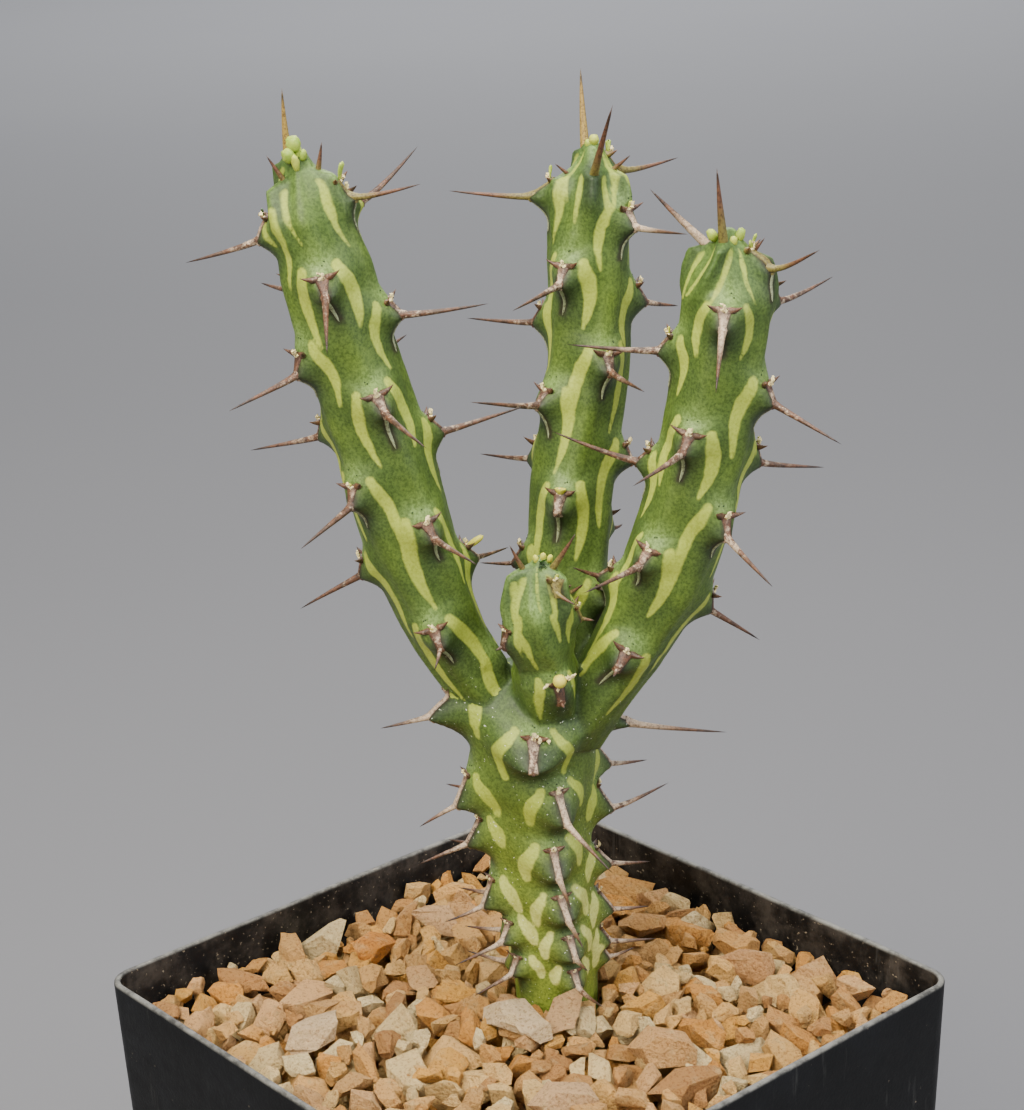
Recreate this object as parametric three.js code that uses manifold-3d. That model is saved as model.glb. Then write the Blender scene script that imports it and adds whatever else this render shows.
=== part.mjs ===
import * as THREE from "three";
import Module from "manifold-3d";

const wasm = await Module();
wasm.setup();

// All sizes are in millimetres and all turns in degrees.
// The pot: square, tapered, rounded at its corners, open at the top.
const POT_HEIGHT = 75;
const POT_TOP = 40;
const POT_BASE = 37.6;
const POT_CORNER = 3.8;
const WALL = 0.9;
const FLOOR = 1.6;
const DRAIN_RADIUS = 4;
const DRAIN_PLACE = 22;
const GAP = 0.3;

// What the pot holds: soil, and crushed stone over it.
const SOIL_TOP = 62.5;
const GRAVEL_BED = 67;
const GRAVEL_MOUND = 1.6;
const ROOT_END = 55;
const TRUNK_HOLE = 6;
const STONE_PITCH = 6.6;
const STONE_HEIGHT = 2.2;

// The plant stands turned against the pot's sides.
const PLANT_TURN = 49.33;

// Every stem carries five ribs. Tooth follows tooth round it at about two fifths of a turn.
const COLUMNS = 20;
const RIBS = 5;
const TOOTH_STEP = 8;
const RIB_HEIGHT = 0.45;
const TWO_FIFTHS = 144;
// A spine this short is a worn stub, and its shield has lost its prickles.
const BROKEN = 1.5;

// A stem: points of its centre line above the rim with its radius, the heights of its teeth along it
// (constant, linear, square and cubic in their order), their turn round it in the same way, and
// the teeth that sit or lean off the rule: order, shift up, shift round, spine bearing, rise, length,
// and for a larger or smaller tooth its share of the usual size. A tooth of spine length 0 is bare.
const TRUNK = {
  line: [[4.3, 4.5, -19, 5], [4.1, 4.5, -4, 5.3], [3.7, 4.5, 6, 5.8], [2.8, 4.5, 14, 6.2],
    [2.4, 4.5, 22, 6.6], [1.9, 4.5, 31, 7.7], [2.2, 4.3, 36, 8.1], [3, 3.8, 41, 7], [3.2, 3.4, 44, 4.2]],
  rings: 1, orders: [3, 33], height: [16.1, 0.666, 0.0246, -0.00009], turn: [27.1, 143.5, -0.0082],
  drop: 4, stand: 4.3, reach: 7, shortest: 4.5,
  own: [[3, 2, 0, 98, 20, 3.5], [5, 0, 0, 24, 9, 7], [10, 0, 0, 13, 16, 6], [13, -1, 5, 112, -10, 5],
    [15, 0, 0, 12, 0, 7], [17, -1, -12, -88, -12, 5], [18, -1, 8, 116, -16, 5.5], [20, 0, 0, 8, 0, 8],
    [22, 0, -12, -88, -18, 6.5], [23, 0, 14, 112, 14, 8], [25, 0, 12, 35, -22, 9.3],
    [27, -2.4, -10, -90, -26, 5], [28, -3.4, 32, 128, -14, 6], [30, 0, -4, 0, 20, 1],
    [32, -1.2, -9, -92, -18, 5.6, 1.45], [33, -3.5, 14, 89, -1, 12, 1.25]],
};
const LEFT = {
  line: [[1.5, 4, 32.5, 4.2], [-2, 3.5, 37.5, 4.6], [-7.8, 2.5, 48, 4.9], [-12.3, 1.5, 61.5, 5.7],
    [-15, 0.8, 73, 5.7], [-18.7, 0, 87.3, 5.5], [-20.3, -0.5, 95.8, 5.4], [-21.6, -1, 102.2, 4.5],
    [-22.6, -1.2, 108.8, 2.5]],
  rings: 2, orders: [1, 20], height: [4.47, 4.84, -0.0877, 0.0015], turn: [145.6, 139.35, 0.0137],
  drop: 2.35, stand: 2.7, reach: 10.2, shortest: 9,
  own: [[1, 1, -18, -106, 4, 0, 0.3], [2, 0, 0, 60, 0, 0, 0.3], [4, -0.9, 10, -40, -30, 2.6],
    [5, 0.8, -8, 140, -17, 5.5], [6, 0.5, 6, -100, -14, 9], [7, 0.8, -13, 29, -6, 9.6],
    [9, 0, 0, -35, -2, 10], [10, 0, 5, 98, 1, 10.5], [11, 0, 10, -110, 0, 9.5],
    [12, 0, 0, 25, -12, 10.3], [14, 0, 3, -48, 2, 10], [15, 0, 0, 78, -2, 10.3],
    [16, 1, 6, -151, -1, 9], [17, -0.6, 0, -1, -19, 10.3], [18, 3.8, -16, 126, 24, 10],
    [19, 0, -4, -106, -6, 9.5], [20, -0.4, 16, 72, 6, 8]],
};
const MIDDLE = {
  line: [[5.6, 6.8, 33.5, 4.5], [6.3, 8, 38.7, 4.7], [7.5, 11, 50, 4.9], [8.6, 13, 64.4, 5.1],
    [10.8, 14.5, 79, 5], [11.6, 15.5, 95.6, 4.9], [12, 15.8, 100.9, 4.2], [12.3, 16, 105.9, 2.5]],
  rings: 2, orders: [2, 19], height: [5.27, 4.411, -0.0228, -0.00102], turn: [97.9, -137.55, -0.028],
  drop: 2.35, stand: 2.7, reach: 9.8, shortest: 8,
  own: [[4, 0, 0, -100, 0, 4], [5, 0, 0, 160, 0, 4], [6, 0, -8, -10, 0, 1.4],
    [7, 0.4, 16, -134, -5, 8.4], [8, -1.6, 6, 100, -5, 7], [9, 0.8, 6, -55, 4, 10],
    [11, -0.8, 0, 20, -1, 10], [12, 0.4, 10, -116, 0, 9], [13, 0, -10, 145, -10, 7.5],
    [14, 0, 0, -34, -8, 10.2], [16, 0.9, 2, 38, 4, 8.8], [17, 0.8, -4, -99, 2, 9.8, 1.5],
    [18, 1.6, -20, 130, 8, 9.2], [19, -0.6, 4, 15, 54, 11.6]],
};
const RIGHT = {
  line: [[7, 3, 33.5, 4.7], [9.7, 2.5, 38, 4.8], [14.5, 1.5, 45.6, 5.1], [19.6, 0, 56.1, 5.9],
    [24.1, -1.5, 71.2, 5.4], [26.4, -2.2, 84.4, 5.2], [27.1, -2.5, 90.6, 5.1], [27.2, -2.7, 94.8, 4.3],
    [27.1, -2.8, 98.3, 2.6]],
  rings: 2, orders: [3, 19], height: [0.73, 4.368, -0.0347, -0.00063], turn: [-133.1, -141.45, 0.0203],
  drop: 2.35, stand: 2.8, reach: 10.2, shortest: 9,
  own: [[4, -1.5, -31, -12, -20, 1.2], [5, 1.5, 18, -62, 10, 4], [6, -0.8, 0, 112, -17, 9],
    [7, 0.8, 6, -39, -9, 10], [9, 0, 0, 30, -5, 10], [10, 0.3, 0, -97, 7, 10.7],
    [11, 0, -8, 113, 0, 9], [12, -1, 0, -36, -10, 10], [14, -0.8, 12, 50, -11, 9.6],
    [15, 0, -4, -93, -2, 10.6], [16, 3.6, -10, 131, 13, 9.4], [17, 0, 3, -7, -27, 10],
    [18, 0, 0, 178, 10, 8], [19, 0.8, 0, 42, 30, 7.4]],
};
const SHOOT = {
  line: [[4.2, 0.6, 37, 3.2], [4.1, -1, 41, 3.8], [4, -1.8, 43.8, 4], [3.8, -2.2, 45.7, 3.5],
    [3.5, -3, 48.7, 4.1], [3.4, -3.8, 54.1, 4], [3.6, -4, 57.4, 3.1], [3.9, -4, 59.3, 1.8]],
  rings: 2, orders: [3, 11], height: [3, 1.85, -0.018, 0], turn: [-20, 137, 0],
  drop: 2.1, stand: 1.5, reach: 3, shortest: 2.2,
  own: [[3, -0.6, -11, 20, 0, 0.9], [5, 3.1, -6, -60, 0, 0.9], [6, 3.3, 6, 80, -6, 1.6],
    [7, 0, 0, -141, 0, 1.6], [8, 0, 0, 0, 0, 0, 0.15], [10, 0, 0, 0, 0, 0, 0.4],
    [11, 0.2, -10, 62, -16, 2.4]],
};

// New growth that crowns each branch: height down from its tip, bearing, rise, spine length.
const CROWNS = [
  [LEFT, [[2.6, -72, 66, 3.4], [2, 62, 68, 3.2], [0.4, -120, 98, 8]]],
  [MIDDLE, [[0.6, -150, 80, 9.4], [2.8, 60, 40, 3], [3.6, -70, 36, 2.4]]],
  [RIGHT, [[0.8, -20, 80, 8.8], [1.4, -104, 46, 9], [2.6, 80, 50, 2], [2.8, 150, 50, 2]]],
  [SHOOT, [[1.6, -68, 56, 3.6], [1, 55, 64, 5.4]]],
];

const toRadians = THREE.MathUtils.degToRad;

// A repeatable run of draws between 0 and 1.
function seeded(seed) {
  let state = seed;
  return () => {
    state = (state * 1664525 + 1013904223) % 4294967296;
    return state / 4294967296;
  };
}

function solidOf(points, faces) {
  const vertProperties = new Float32Array(points.flatMap((p) => [p.x, p.y, p.z]));
  const triVerts = new Uint32Array(faces.flat());
  return new wasm.Manifold(new wasm.Mesh({ numProp: 3, vertProperties, triVerts }));
}

// A closed body through rings of equal count, from the lowest ring up, with a point at each end.
function bodyOf(rings, first, last) {
  const count = rings[0].length;
  const points = [first, ...rings.flat(), last];
  const faces = [];
  for (let j = 0; j < count; j += 1) {
    const k = (j + 1) % count;
    faces.push([0, 1 + k, 1 + j]);
    const top = 1 + (rings.length - 1) * count;
    faces.push([points.length - 1, top + j, top + k]);
    for (let i = 0; i + 1 < rings.length; i += 1) {
      const low = 1 + i * count;
      const high = low + count;
      faces.push([low + j, low + k, high + k], [low + j, high + k, high + j]);
    }
  }
  return solidOf(points, faces);
}

function meshOf(solid, name, colour, roughness) {
  const data = solid.getMesh();
  const geometry = new THREE.BufferGeometry();
  geometry.setAttribute("position", new THREE.BufferAttribute(Float32Array.from(data.vertProperties), 3));
  geometry.setIndex(new THREE.BufferAttribute(Uint32Array.from(data.triVerts), 1));
  geometry.computeVertexNormals();
  const material = new THREE.MeshStandardMaterial({ color: colour, roughness, metalness: 0 });
  const mesh = new THREE.Mesh(geometry, material);
  mesh.name = name;
  return mesh;
}

// The outline of a square with rounded corners at one height.
function squareRing(half, corner, z, steps = 4) {
  const ring = [];
  for (let quarter = 0; quarter < 4; quarter += 1) {
    for (let i = 0; i <= steps; i += 1) {
      const angle = (Math.PI / 2) * (quarter + i / steps);
      const side = (Math.PI / 2) * quarter + Math.PI / 4;
      const x = Math.sign(Math.cos(side)) * (half - corner) + corner * Math.cos(angle);
      const y = Math.sign(Math.sin(side)) * (half - corner) + corner * Math.sin(angle);
      ring.push(new THREE.Vector3(x, y, z));
    }
  }
  return ring;
}

// Half the width of the pot's outside at a height.
function halfAt(z) {
  return POT_BASE + (POT_TOP - POT_BASE) * z / POT_HEIGHT;
}

// An upright round body, for the pot's drain holes and the hole that the trunk stands in.
function roundBody(radius, low, high, centre, sides) {
  const ring = (z) => Array.from({ length: sides }, (_, i) => {
    const angle = 2 * Math.PI * i / sides;
    return new THREE.Vector3(centre.x + radius * Math.cos(angle), centre.y + radius * Math.sin(angle), z);
  });
  const end = (z) => new THREE.Vector3(centre.x, centre.y, z);
  return bodyOf([ring(low), ring(high)], end(low), end(high));
}

// The pot's shell, outside and inside in one run of rings, with four drain holes in its floor.
function makePot() {
  const outside = [[POT_BASE - 0.5, 0], [halfAt(0.5), 0.5], [halfAt(POT_HEIGHT - 0.4), POT_HEIGHT - 0.4],
    [POT_TOP - 0.35, POT_HEIGHT]];
  const inside = [[POT_TOP - WALL + 0.25, POT_HEIGHT], [halfAt(POT_HEIGHT - 0.5) - WALL, POT_HEIGHT - 0.5],
    [halfAt(FLOOR) - WALL, FLOOR]];
  const rings = outside.map(([half, z]) => squareRing(half, POT_CORNER, z));
  rings.push(...inside.map(([half, z]) => squareRing(half, POT_CORNER - WALL, z)));
  let pot = bodyOf(rings, new THREE.Vector3(0, 0, 0), new THREE.Vector3(0, 0, FLOOR));
  for (const x of [-1, 1]) {
    for (const y of [-1, 1]) {
      const centre = new THREE.Vector3(x * DRAIN_PLACE, y * DRAIN_PLACE, 0);
      pot = pot.subtract(roundBody(DRAIN_RADIUS, -2, FLOOR + 2, centre, 16));
    }
  }
  return pot;
}

// Contents of the pot between two heights, clear of its walls.
function filling(low, high) {
  const ring = (z) => squareRing(halfAt(z) - WALL - GAP, POT_CORNER - WALL, z);
  return bodyOf([ring(low), ring(high)], new THREE.Vector3(0, 0, low), new THREE.Vector3(0, 0, high));
}

// The place where the trunk stands, in the pot's frame.
function trunkFoot() {
  const [x, y] = TRUNK.line[1];
  return new THREE.Vector3(x, y, 0).applyAxisAngle(new THREE.Vector3(0, 0, 1), toRadians(PLANT_TURN));
}

// Potting soil up to the crushed stone, with a plain hole for the foot of the trunk.
function makeSoil() {
  const hole = roundBody(TRUNK_HOLE, ROOT_END - GAP, SOIL_TOP + 5, trunkFoot(), 20);
  return filling(FLOOR + GAP, SOIL_TOP).subtract(hole);
}

// One crushed stone of the top dressing: a tilted flat top inside its six-sided cell.
function stoneIn(corners, random) {
  const middle = new THREE.Vector3();
  corners.forEach((corner) => middle.addScaledVector(corner, 1 / 6));
  const foot = trunkFoot();
  const mound = GRAVEL_MOUND * Math.exp(-((Math.hypot(middle.x - foot.x, middle.y - foot.y) / 22) ** 2));
  const high = STONE_HEIGHT * (0.75 + 0.6 * random()) + mound;
  const tilt = [0.5 * (random() - 0.5), 0.5 * (random() - 0.5)];
  return corners.map((corner) => {
    const top = corner.clone().lerp(middle, 0.18 + 0.3 * random());
    top.z = GRAVEL_BED + high + tilt[0] * (top.x - middle.x) + tilt[1] * (top.y - middle.y);
    return top;
  });
}

// Crushed stone over the soil: cells that share their low corners, cut to the pot and round
// the trunk. The open sheet of stones is closed down to one deep point before it is cut.
function makeGravel() {
  const random = seeded(7);
  const points = [];
  const faces = [];
  const shared = new Map();
  const lowCorner = (x, y) => {
    const key = `${Math.round(x * 8)},${Math.round(y * 8)}`;
    if (!shared.has(key)) {
      shared.set(key, points.length);
      const shift = () => 2.3 * (random() - 0.5);
      points.push(new THREE.Vector3(x + shift(), y + shift(), GRAVEL_BED + shift() * 0.5));
    }
    return shared.get(key);
  };
  const reach = STONE_PITCH / Math.sqrt(3);
  const count = Math.ceil(POT_TOP / STONE_PITCH);
  for (let row = -count; row <= count; row += 1) {
    for (let i = -count; i <= count; i += 1) {
      const x = STONE_PITCH * (i + 0.5 * (row & 1));
      const y = STONE_PITCH * Math.sqrt(0.75) * row;
      const low = Array.from({ length: 6 }, (_, n) => {
        const angle = Math.PI * (2 * n + 1) / 6;
        return lowCorner(x + reach * Math.cos(angle), y + reach * Math.sin(angle));
      });
      const high = points.length;
      points.push(...stoneIn(low.map((n) => points[n]), random));
      for (let n = 0; n < 6; n += 1) {
        const m = (n + 1) % 6;
        faces.push([low[n], low[m], high + m], [low[n], high + m, high + n]);
      }
      for (let n = 1; n < 5; n += 1) faces.push([high, high + n, high + n + 1]);
    }
  }
  const edges = new Set(faces.flatMap(([a, b, c]) => [`${a},${b}`, `${b},${c}`, `${c},${a}`]));
  const deep = points.length;
  points.push(new THREE.Vector3(0, 0, -POT_HEIGHT));
  for (const edge of edges) {
    const [a, b] = edge.split(",").map(Number);
    if (!edges.has(`${b},${a}`)) faces.push([b, a, deep]);
  }
  return solidOf(points, faces).intersect(filling(SOIL_TOP + GAP, POT_HEIGHT + 2))
    .subtract(roundBody(TRUNK_HOLE, SOIL_TOP - 1, POT_HEIGHT + 5, trunkFoot(), 20));
}

// Centre line of a stem: a smooth curve through its points, measured along their chords.
function prepare(stem) {
  const points = stem.line.map(([x, y, z]) => new THREE.Vector3(x, y, z));
  const marks = [0];
  for (let i = 1; i < points.length; i += 1) marks.push(marks[i - 1] + points[i].distanceTo(points[i - 1]));
  const slopes = points.map((_, i) => {
    const a = Math.max(0, i - 1);
    const b = Math.min(points.length - 1, i + 1);
    return points[b].clone().sub(points[a]).divideScalar(marks[b] - marks[a]);
  });
  return { points, marks, slopes, end: marks[marks.length - 1] };
}

function centre(stem, height) {
  const { points, marks, slopes, end } = stem.curve;
  const s = THREE.MathUtils.clamp(height, 0, end - 1e-6);
  const i = marks.findIndex((mark, n) => s >= mark && s < marks[n + 1]);
  const span = marks[i + 1] - marks[i];
  const t = (s - marks[i]) / span;
  const place = new THREE.Vector3()
    .addScaledVector(points[i], 2 * t ** 3 - 3 * t ** 2 + 1)
    .addScaledVector(slopes[i], (t ** 3 - 2 * t ** 2 + t) * span)
    .addScaledVector(points[i + 1], -2 * t ** 3 + 3 * t ** 2)
    .addScaledVector(slopes[i + 1], (t ** 3 - t ** 2) * span);
  const along = new THREE.Vector3()
    .addScaledVector(points[i], (6 * t * t - 6 * t) / span)
    .addScaledVector(slopes[i], 3 * t * t - 4 * t + 1)
    .addScaledVector(points[i + 1], (6 * t - 6 * t * t) / span)
    .addScaledVector(slopes[i + 1], 3 * t * t - 2 * t)
    .normalize();
  place.addScaledVector(along, height - s);
  const lean = Math.abs(along.z) / Math.hypot(along.x, along.z);
  const radius = THREE.MathUtils.lerp(stem.line[i][3], stem.line[i + 1][3], t) * lean;
  return { place, along, radius };
}

// Directions round a stem: out of it at a turn from its front, and sideways from there.
function around(along, turn) {
  const front = new THREE.Vector3(0, -1, 0).addScaledVector(along, along.y).normalize();
  const right = front.clone().cross(along).negate();
  const angle = toRadians(turn);
  const out = front.multiplyScalar(Math.cos(angle)).addScaledVector(right, Math.sin(angle));
  return { out, side: along.clone().cross(out) };
}

// The height of a tooth along its stem, by the stem's rule.
function heightOf(stem, order) {
  const [a, b, c, d] = stem.height;
  return a + b * order + c * order ** 2 + d * order ** 3;
}

// The order, with its fraction, that the rule gives at a height.
function orderAt(stem, height) {
  let order = stem.orders[0];
  while (order < stem.orders[1] && heightOf(stem, order + 1) < height) order += 1;
  const step = heightOf(stem, order + 1) - heightOf(stem, order);
  return order + (height - heightOf(stem, order)) / step;
}

// The turn of a column of the skin's net. Columns follow the ribs, and column 0 starts on one.
function turnOf(stem, order, column) {
  const [a, b, c] = stem.turn;
  const twist = b - Math.sign(b) * TWO_FIFTHS;
  return a + twist * order + c * order ** 2 + column * 360 / COLUMNS;
}

// The column that a tooth sits on.
function columnOf(stem, order) {
  return THREE.MathUtils.euclideanModulo(Math.sign(stem.turn[1]) * TOOTH_STEP * order, COLUMNS);
}

// The teeth of a stem by its rule, with those that sit or lean off it.
function teethOf(stem, seed) {
  const random = seeded(seed);
  const teeth = [];
  for (let order = stem.orders[0]; order <= stem.orders[1]; order += 1) {
    const own = stem.own.find((row) => row[0] === order);
    const height = heightOf(stem, order) + (own ? own[1] : 0);
    const turn = turnOf(stem, order, columnOf(stem, order)) + (own ? own[2] : 0);
    const spacing = 5 * (heightOf(stem, order + 1) - heightOf(stem, order));
    const size = THREE.MathUtils.clamp(spacing / 9, 0.55, 1);
    const young = THREE.MathUtils.clamp((stem.curve.end - height) / 7 + 0.35, 0.35, 1);
    const usual = stem.shortest + (stem.reach - stem.shortest) * size;
    const lean = [turn + 16 * (random() - 0.5), 14 * (random() - 0.6), usual * (0.9 + 0.2 * random())];
    const [bearing, rise, length] = own ? own.slice(3) : lean;
    const share = own?.[6] ?? 1;
    const [drop, stand] = [stem.drop * size, stem.stand * size * young * share];
    teeth.push({ order, height, turn, bearing, rise, length, size, drop, stand });
  }
  return teeth;
}

// How far the skin stands out at a height and turn: ribs, and a tooth with a hollow underside.
function relief(stem, teeth, radius, height, turn) {
  const rib = Math.cos(toRadians(RIBS * (turn - turnOf(stem, orderAt(stem, height), 0))));
  let out = RIB_HEIGHT * Math.min(1, radius / 4) * rib;
  for (const tooth of teeth) {
    const up = height - (tooth.height - tooth.drop);
    const top = tooth.drop + 2.6 * tooth.size;
    const low = 5 * tooth.size;
    if (up > top || up < -low) continue;
    const apart = THREE.MathUtils.euclideanModulo(turn - tooth.turn + 180, 360) - 180;
    const across = toRadians(apart) * radius;
    const width = 1.55 + 0.35 * Math.max(0, up);
    const profile = up > 0 ? (1 - up / top) ** 1.4 : (1 + up / low) ** 1.9;
    out = Math.max(out, tooth.stand * profile * Math.exp(-((across / width) ** 2)));
  }
  return out;
}

// The heights of the skin's rings: one on each tooth's tip and, on branches, one between them.
function ringHeights(stem) {
  const first = stem.orders[0];
  const rooted = [];
  const low = heightOf(stem, first) - stem.drop;
  for (let s = 0; s < low - 1.2; s += 3.2) rooted.push(s);
  const steps = (stem.orders[1] - first) * stem.rings;
  const level = (i) => heightOf(stem, first + i / stem.rings) - stem.drop;
  const toothed = Array.from({ length: steps + 1 }, (_, i) => level(i));
  const ending = [];
  for (let s = toothed[steps] + 1.5; s < stem.curve.end - 0.4; s += 1.5) ending.push(s);
  return { heights: [...rooted, ...toothed, ...ending, stem.curve.end], start: rooted.length };
}

// The tip of a tooth's spine.
function spineTip(stem, tooth) {
  const { place, along, radius } = centre(stem, tooth.height - tooth.drop);
  const base = place.addScaledVector(around(along, tooth.turn).out, radius + tooth.stand);
  const rise = toRadians(tooth.rise);
  return base.addScaledVector(around(along, tooth.bearing).out, tooth.length * Math.cos(rise))
    .addScaledVector(along, tooth.length * Math.sin(rise));
}

// The tips of the two prickles that spread from the top of a tooth's shield.
function prickleTips(stem, tooth) {
  const { place, along, radius } = centre(stem, tooth.height);
  const { out, side } = around(along, tooth.turn);
  const length = Math.min(2.7, 1 + 0.17 * tooth.length);
  place.addScaledVector(out, radius + relief(stem, [tooth], radius, tooth.height, tooth.turn));
  return [-1, 1].map((way) => place.clone().addScaledVector(side, way * length)
    .addScaledVector(out, 0.45 * length).addScaledVector(along, 0.35 * length));
}

// How closely a point of the net follows a tooth that is shifted off the rule: 1 on it, 0 two points away.
function nearness(stem, tooth, order, column) {
  const half = COLUMNS / 2;
  const turned = column - columnOf(stem, tooth.order) + half;
  const apart = THREE.MathUtils.euclideanModulo(turned, COLUMNS) - half;
  const away = Math.abs(order - tooth.order) * stem.rings;
  return Math.max(0, 1 - away / 2) * Math.max(0, 1 - Math.abs(apart) / 2);
}

// The stem's skin as a net of rings, with the net's points on each tooth marked for its horn.
function skinOf(stem, teeth) {
  const { heights, start } = ringHeights(stem);
  const marks = new Map();
  const horn = (ring, column, tooth, kind) => marks.set(`${ring},${column}`, { tooth, kind });
  for (const tooth of teeth) {
    const ring = start + (tooth.order - stem.orders[0]) * stem.rings;
    const step = heights[ring + 1] - heights[ring];
    const head = Math.min(ring + Math.max(1, Math.round(tooth.drop / step * 0.9)), heights.length - 1);
    horn(ring, columnOf(stem, tooth.order), tooth, "spine");
    if (tooth.length > BROKEN) horn(head, columnOf(stem, tooth.order), tooth, "prickles");
  }
  const rings = heights.map((level, n) => {
    const order = stem.orders[0] + (n - start) / stem.rings;
    return Array.from({ length: COLUMNS }, (_, column) => {
      const mark = marks.get(`${n},${column}`);
      let height = level;
      let turn = turnOf(stem, orderAt(stem, level + stem.drop), column);
      for (const tooth of teeth) {
        const near = nearness(stem, tooth, order, column);
        height += near * (tooth.height - tooth.drop - (heightOf(stem, tooth.order) - stem.drop));
        turn += near * (tooth.turn - turnOf(stem, tooth.order, columnOf(stem, tooth.order)));
      }
      if (mark) {
        height = mark.tooth.height - (mark.kind === "spine" ? mark.tooth.drop : 0);
        turn = mark.tooth.turn;
      }
      const { place, along, radius } = centre(stem, height);
      const reach = radius + relief(stem, teeth, radius, height, turn);
      return place.addScaledVector(around(along, turn).out, reach);
    });
  });
  return netOf(stem, rings, marks);
}

// Closes a net of rings, and grows each mark's spine or prickles out of a small collar round its point.
function netOf(stem, rings, marks) {
  const low = centre(stem, 0).place;
  const tip = centre(stem, stem.curve.end);
  const points = [low, ...rings.flat(), tip.place.addScaledVector(tip.along, tip.radius * 0.55)];
  const horns = new Map();
  for (const [key, { tooth, kind }] of marks) {
    const [ring, column] = key.split(",").map(Number);
    const tips = kind === "spine" ? [spineTip(stem, tooth)] : prickleTips(stem, tooth);
    const first = points.length;
    points.push(...tips);
    const wide = kind === "spine" ? 0.42 + 0.045 * tooth.length : 0.6;
    horns.set(1 + ring * COLUMNS + column, { kind, first, wide });
  }
  const collars = new Map();
  const collar = (from, to) => {
    const key = `${from},${to}`;
    if (!collars.has(key)) {
      const length = points[from].distanceTo(points[to]);
      collars.set(key, points.length);
      points.push(points[from].clone().lerp(points[to], Math.min(0.42, horns.get(from).wide / length)));
    }
    return collars.get(key);
  };
  const faces = [];
  const face = (corners, side) => {
    const outline = [];
    corners.forEach((at, n) => {
      if (!horns.has(at)) {
        outline.push(at);
        return;
      }
      const before = collar(at, corners[(n + 2) % 3]);
      const after = collar(at, corners[(n + 1) % 3]);
      outline.push(before, after);
      const { kind, first } = horns.get(at);
      const prickle = kind === "prickles" ? side(at) : 0;
      if (kind === "spine") faces.push([before, first, after]);
      else if (prickle === 0) faces.push([before, at, after]);
      else {
        const point = first + (prickle > 0 ? 1 : 0);
        faces.push([before, at, point], [at, after, point], [after, before, point]);
      }
    });
    for (let n = 1; n + 1 < outline.length; n += 1) faces.push([outline[0], outline[n], outline[n + 1]]);
  };
  const top = 1 + rings.length * COLUMNS;
  for (let j = 0; j < COLUMNS; j += 1) {
    const k = (j + 1) % COLUMNS;
    faces.push([0, 1 + k, 1 + j]);
    const last = 1 + (rings.length - 1) * COLUMNS;
    face([top, last + j, last + k], () => 0);
    for (let i = 0; i + 1 < rings.length; i += 1) {
      const a = 1 + i * COLUMNS;
      const b = a + COLUMNS;
      face([a + j, a + k, b + k], (at) => [1, -1, 0][[a + j, a + k, b + k].indexOf(at)]);
      face([a + j, b + k, b + j], () => 0);
    }
  }
  return solidOf(points, faces);
}

// A body through rings whose turning sense isn't known beforehand, with its faces out.
function orient(rings, first, last) {
  const solid = bodyOf(rings, first, last);
  if (solid.volume() > 0) return solid;
  return bodyOf(rings.map((ring) => [...ring].reverse()), first, last);
}

// A spine of the crown: a four-sided spike with its root sunk in the stem's end.
function crownSpine(stem, [down, bearing, rise, length]) {
  const { place, along, radius } = centre(stem, stem.curve.end - down);
  const { out, side } = around(along, bearing);
  const root = place.addScaledVector(out, radius * 0.55);
  const slope = toRadians(rise);
  const aim = out.clone().multiplyScalar(Math.cos(slope)).addScaledVector(along, Math.sin(slope));
  const thick = 0.55 + 0.05 * length;
  const face = side.clone().cross(aim);
  const ring = (middle, wide) => [[1, 0], [0, 1], [-1, 0], [0, -1]].map(([a, b]) => middle.clone()
    .addScaledVector(side, a * wide).addScaledVector(face, b * wide));
  const rings = [ring(root, thick * 1.5), ring(root.clone().addScaledVector(aim, 1.6), thick)];
  const end = (distance) => root.clone().addScaledVector(aim, distance);
  return orient(rings, end(-1), end(length + 1));
}

// The outer body, without the pinholes that are closed in where the stems meet.
function bodyAlone(solid) {
  return solid.decompose().reduce((a, b) => (b.volume() > a.volume() ? b : a));
}

// The whole plant, grown as one piece: trunk, three branches, young shoot and their spines.
function makePlant() {
  const stems = [TRUNK, LEFT, MIDDLE, RIGHT, SHOOT];
  let plant = null;
  stems.forEach((stem, n) => {
    stem.curve = prepare(stem);
    const teeth = teethOf(stem, 11 + n);
    const skin = skinOf(stem, teeth);
    plant = plant ? plant.add(skin) : skin;
  });
  for (const [stem, spines] of CROWNS) {
    for (const spine of spines) plant = plant.add(crownSpine(stem, spine));
  }
  return bodyAlone(plant);
}

const part = new THREE.Group();
part.name = "potted_euphorbia";
part.add(meshOf(makePot(), "pot", 0x1b1d20, 0.5));
part.add(meshOf(makeSoil(), "potting_soil", 0x3b2a1e, 1));
part.add(meshOf(makeGravel(), "gravel", 0xc9a673, 0.95));

const plantFrame = new THREE.Group();
plantFrame.position.z = POT_HEIGHT;
plantFrame.rotation.z = toRadians(PLANT_TURN);
plantFrame.add(meshOf(makePlant(), "euphorbia", 0x5c8a3c, 0.6));
part.add(plantFrame);

export default part;
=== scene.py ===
import math
import bmesh
import bpy
import numpy as np
from mathutils import Matrix, Vector
from mathutils.bvhtree import BVHTree


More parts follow.
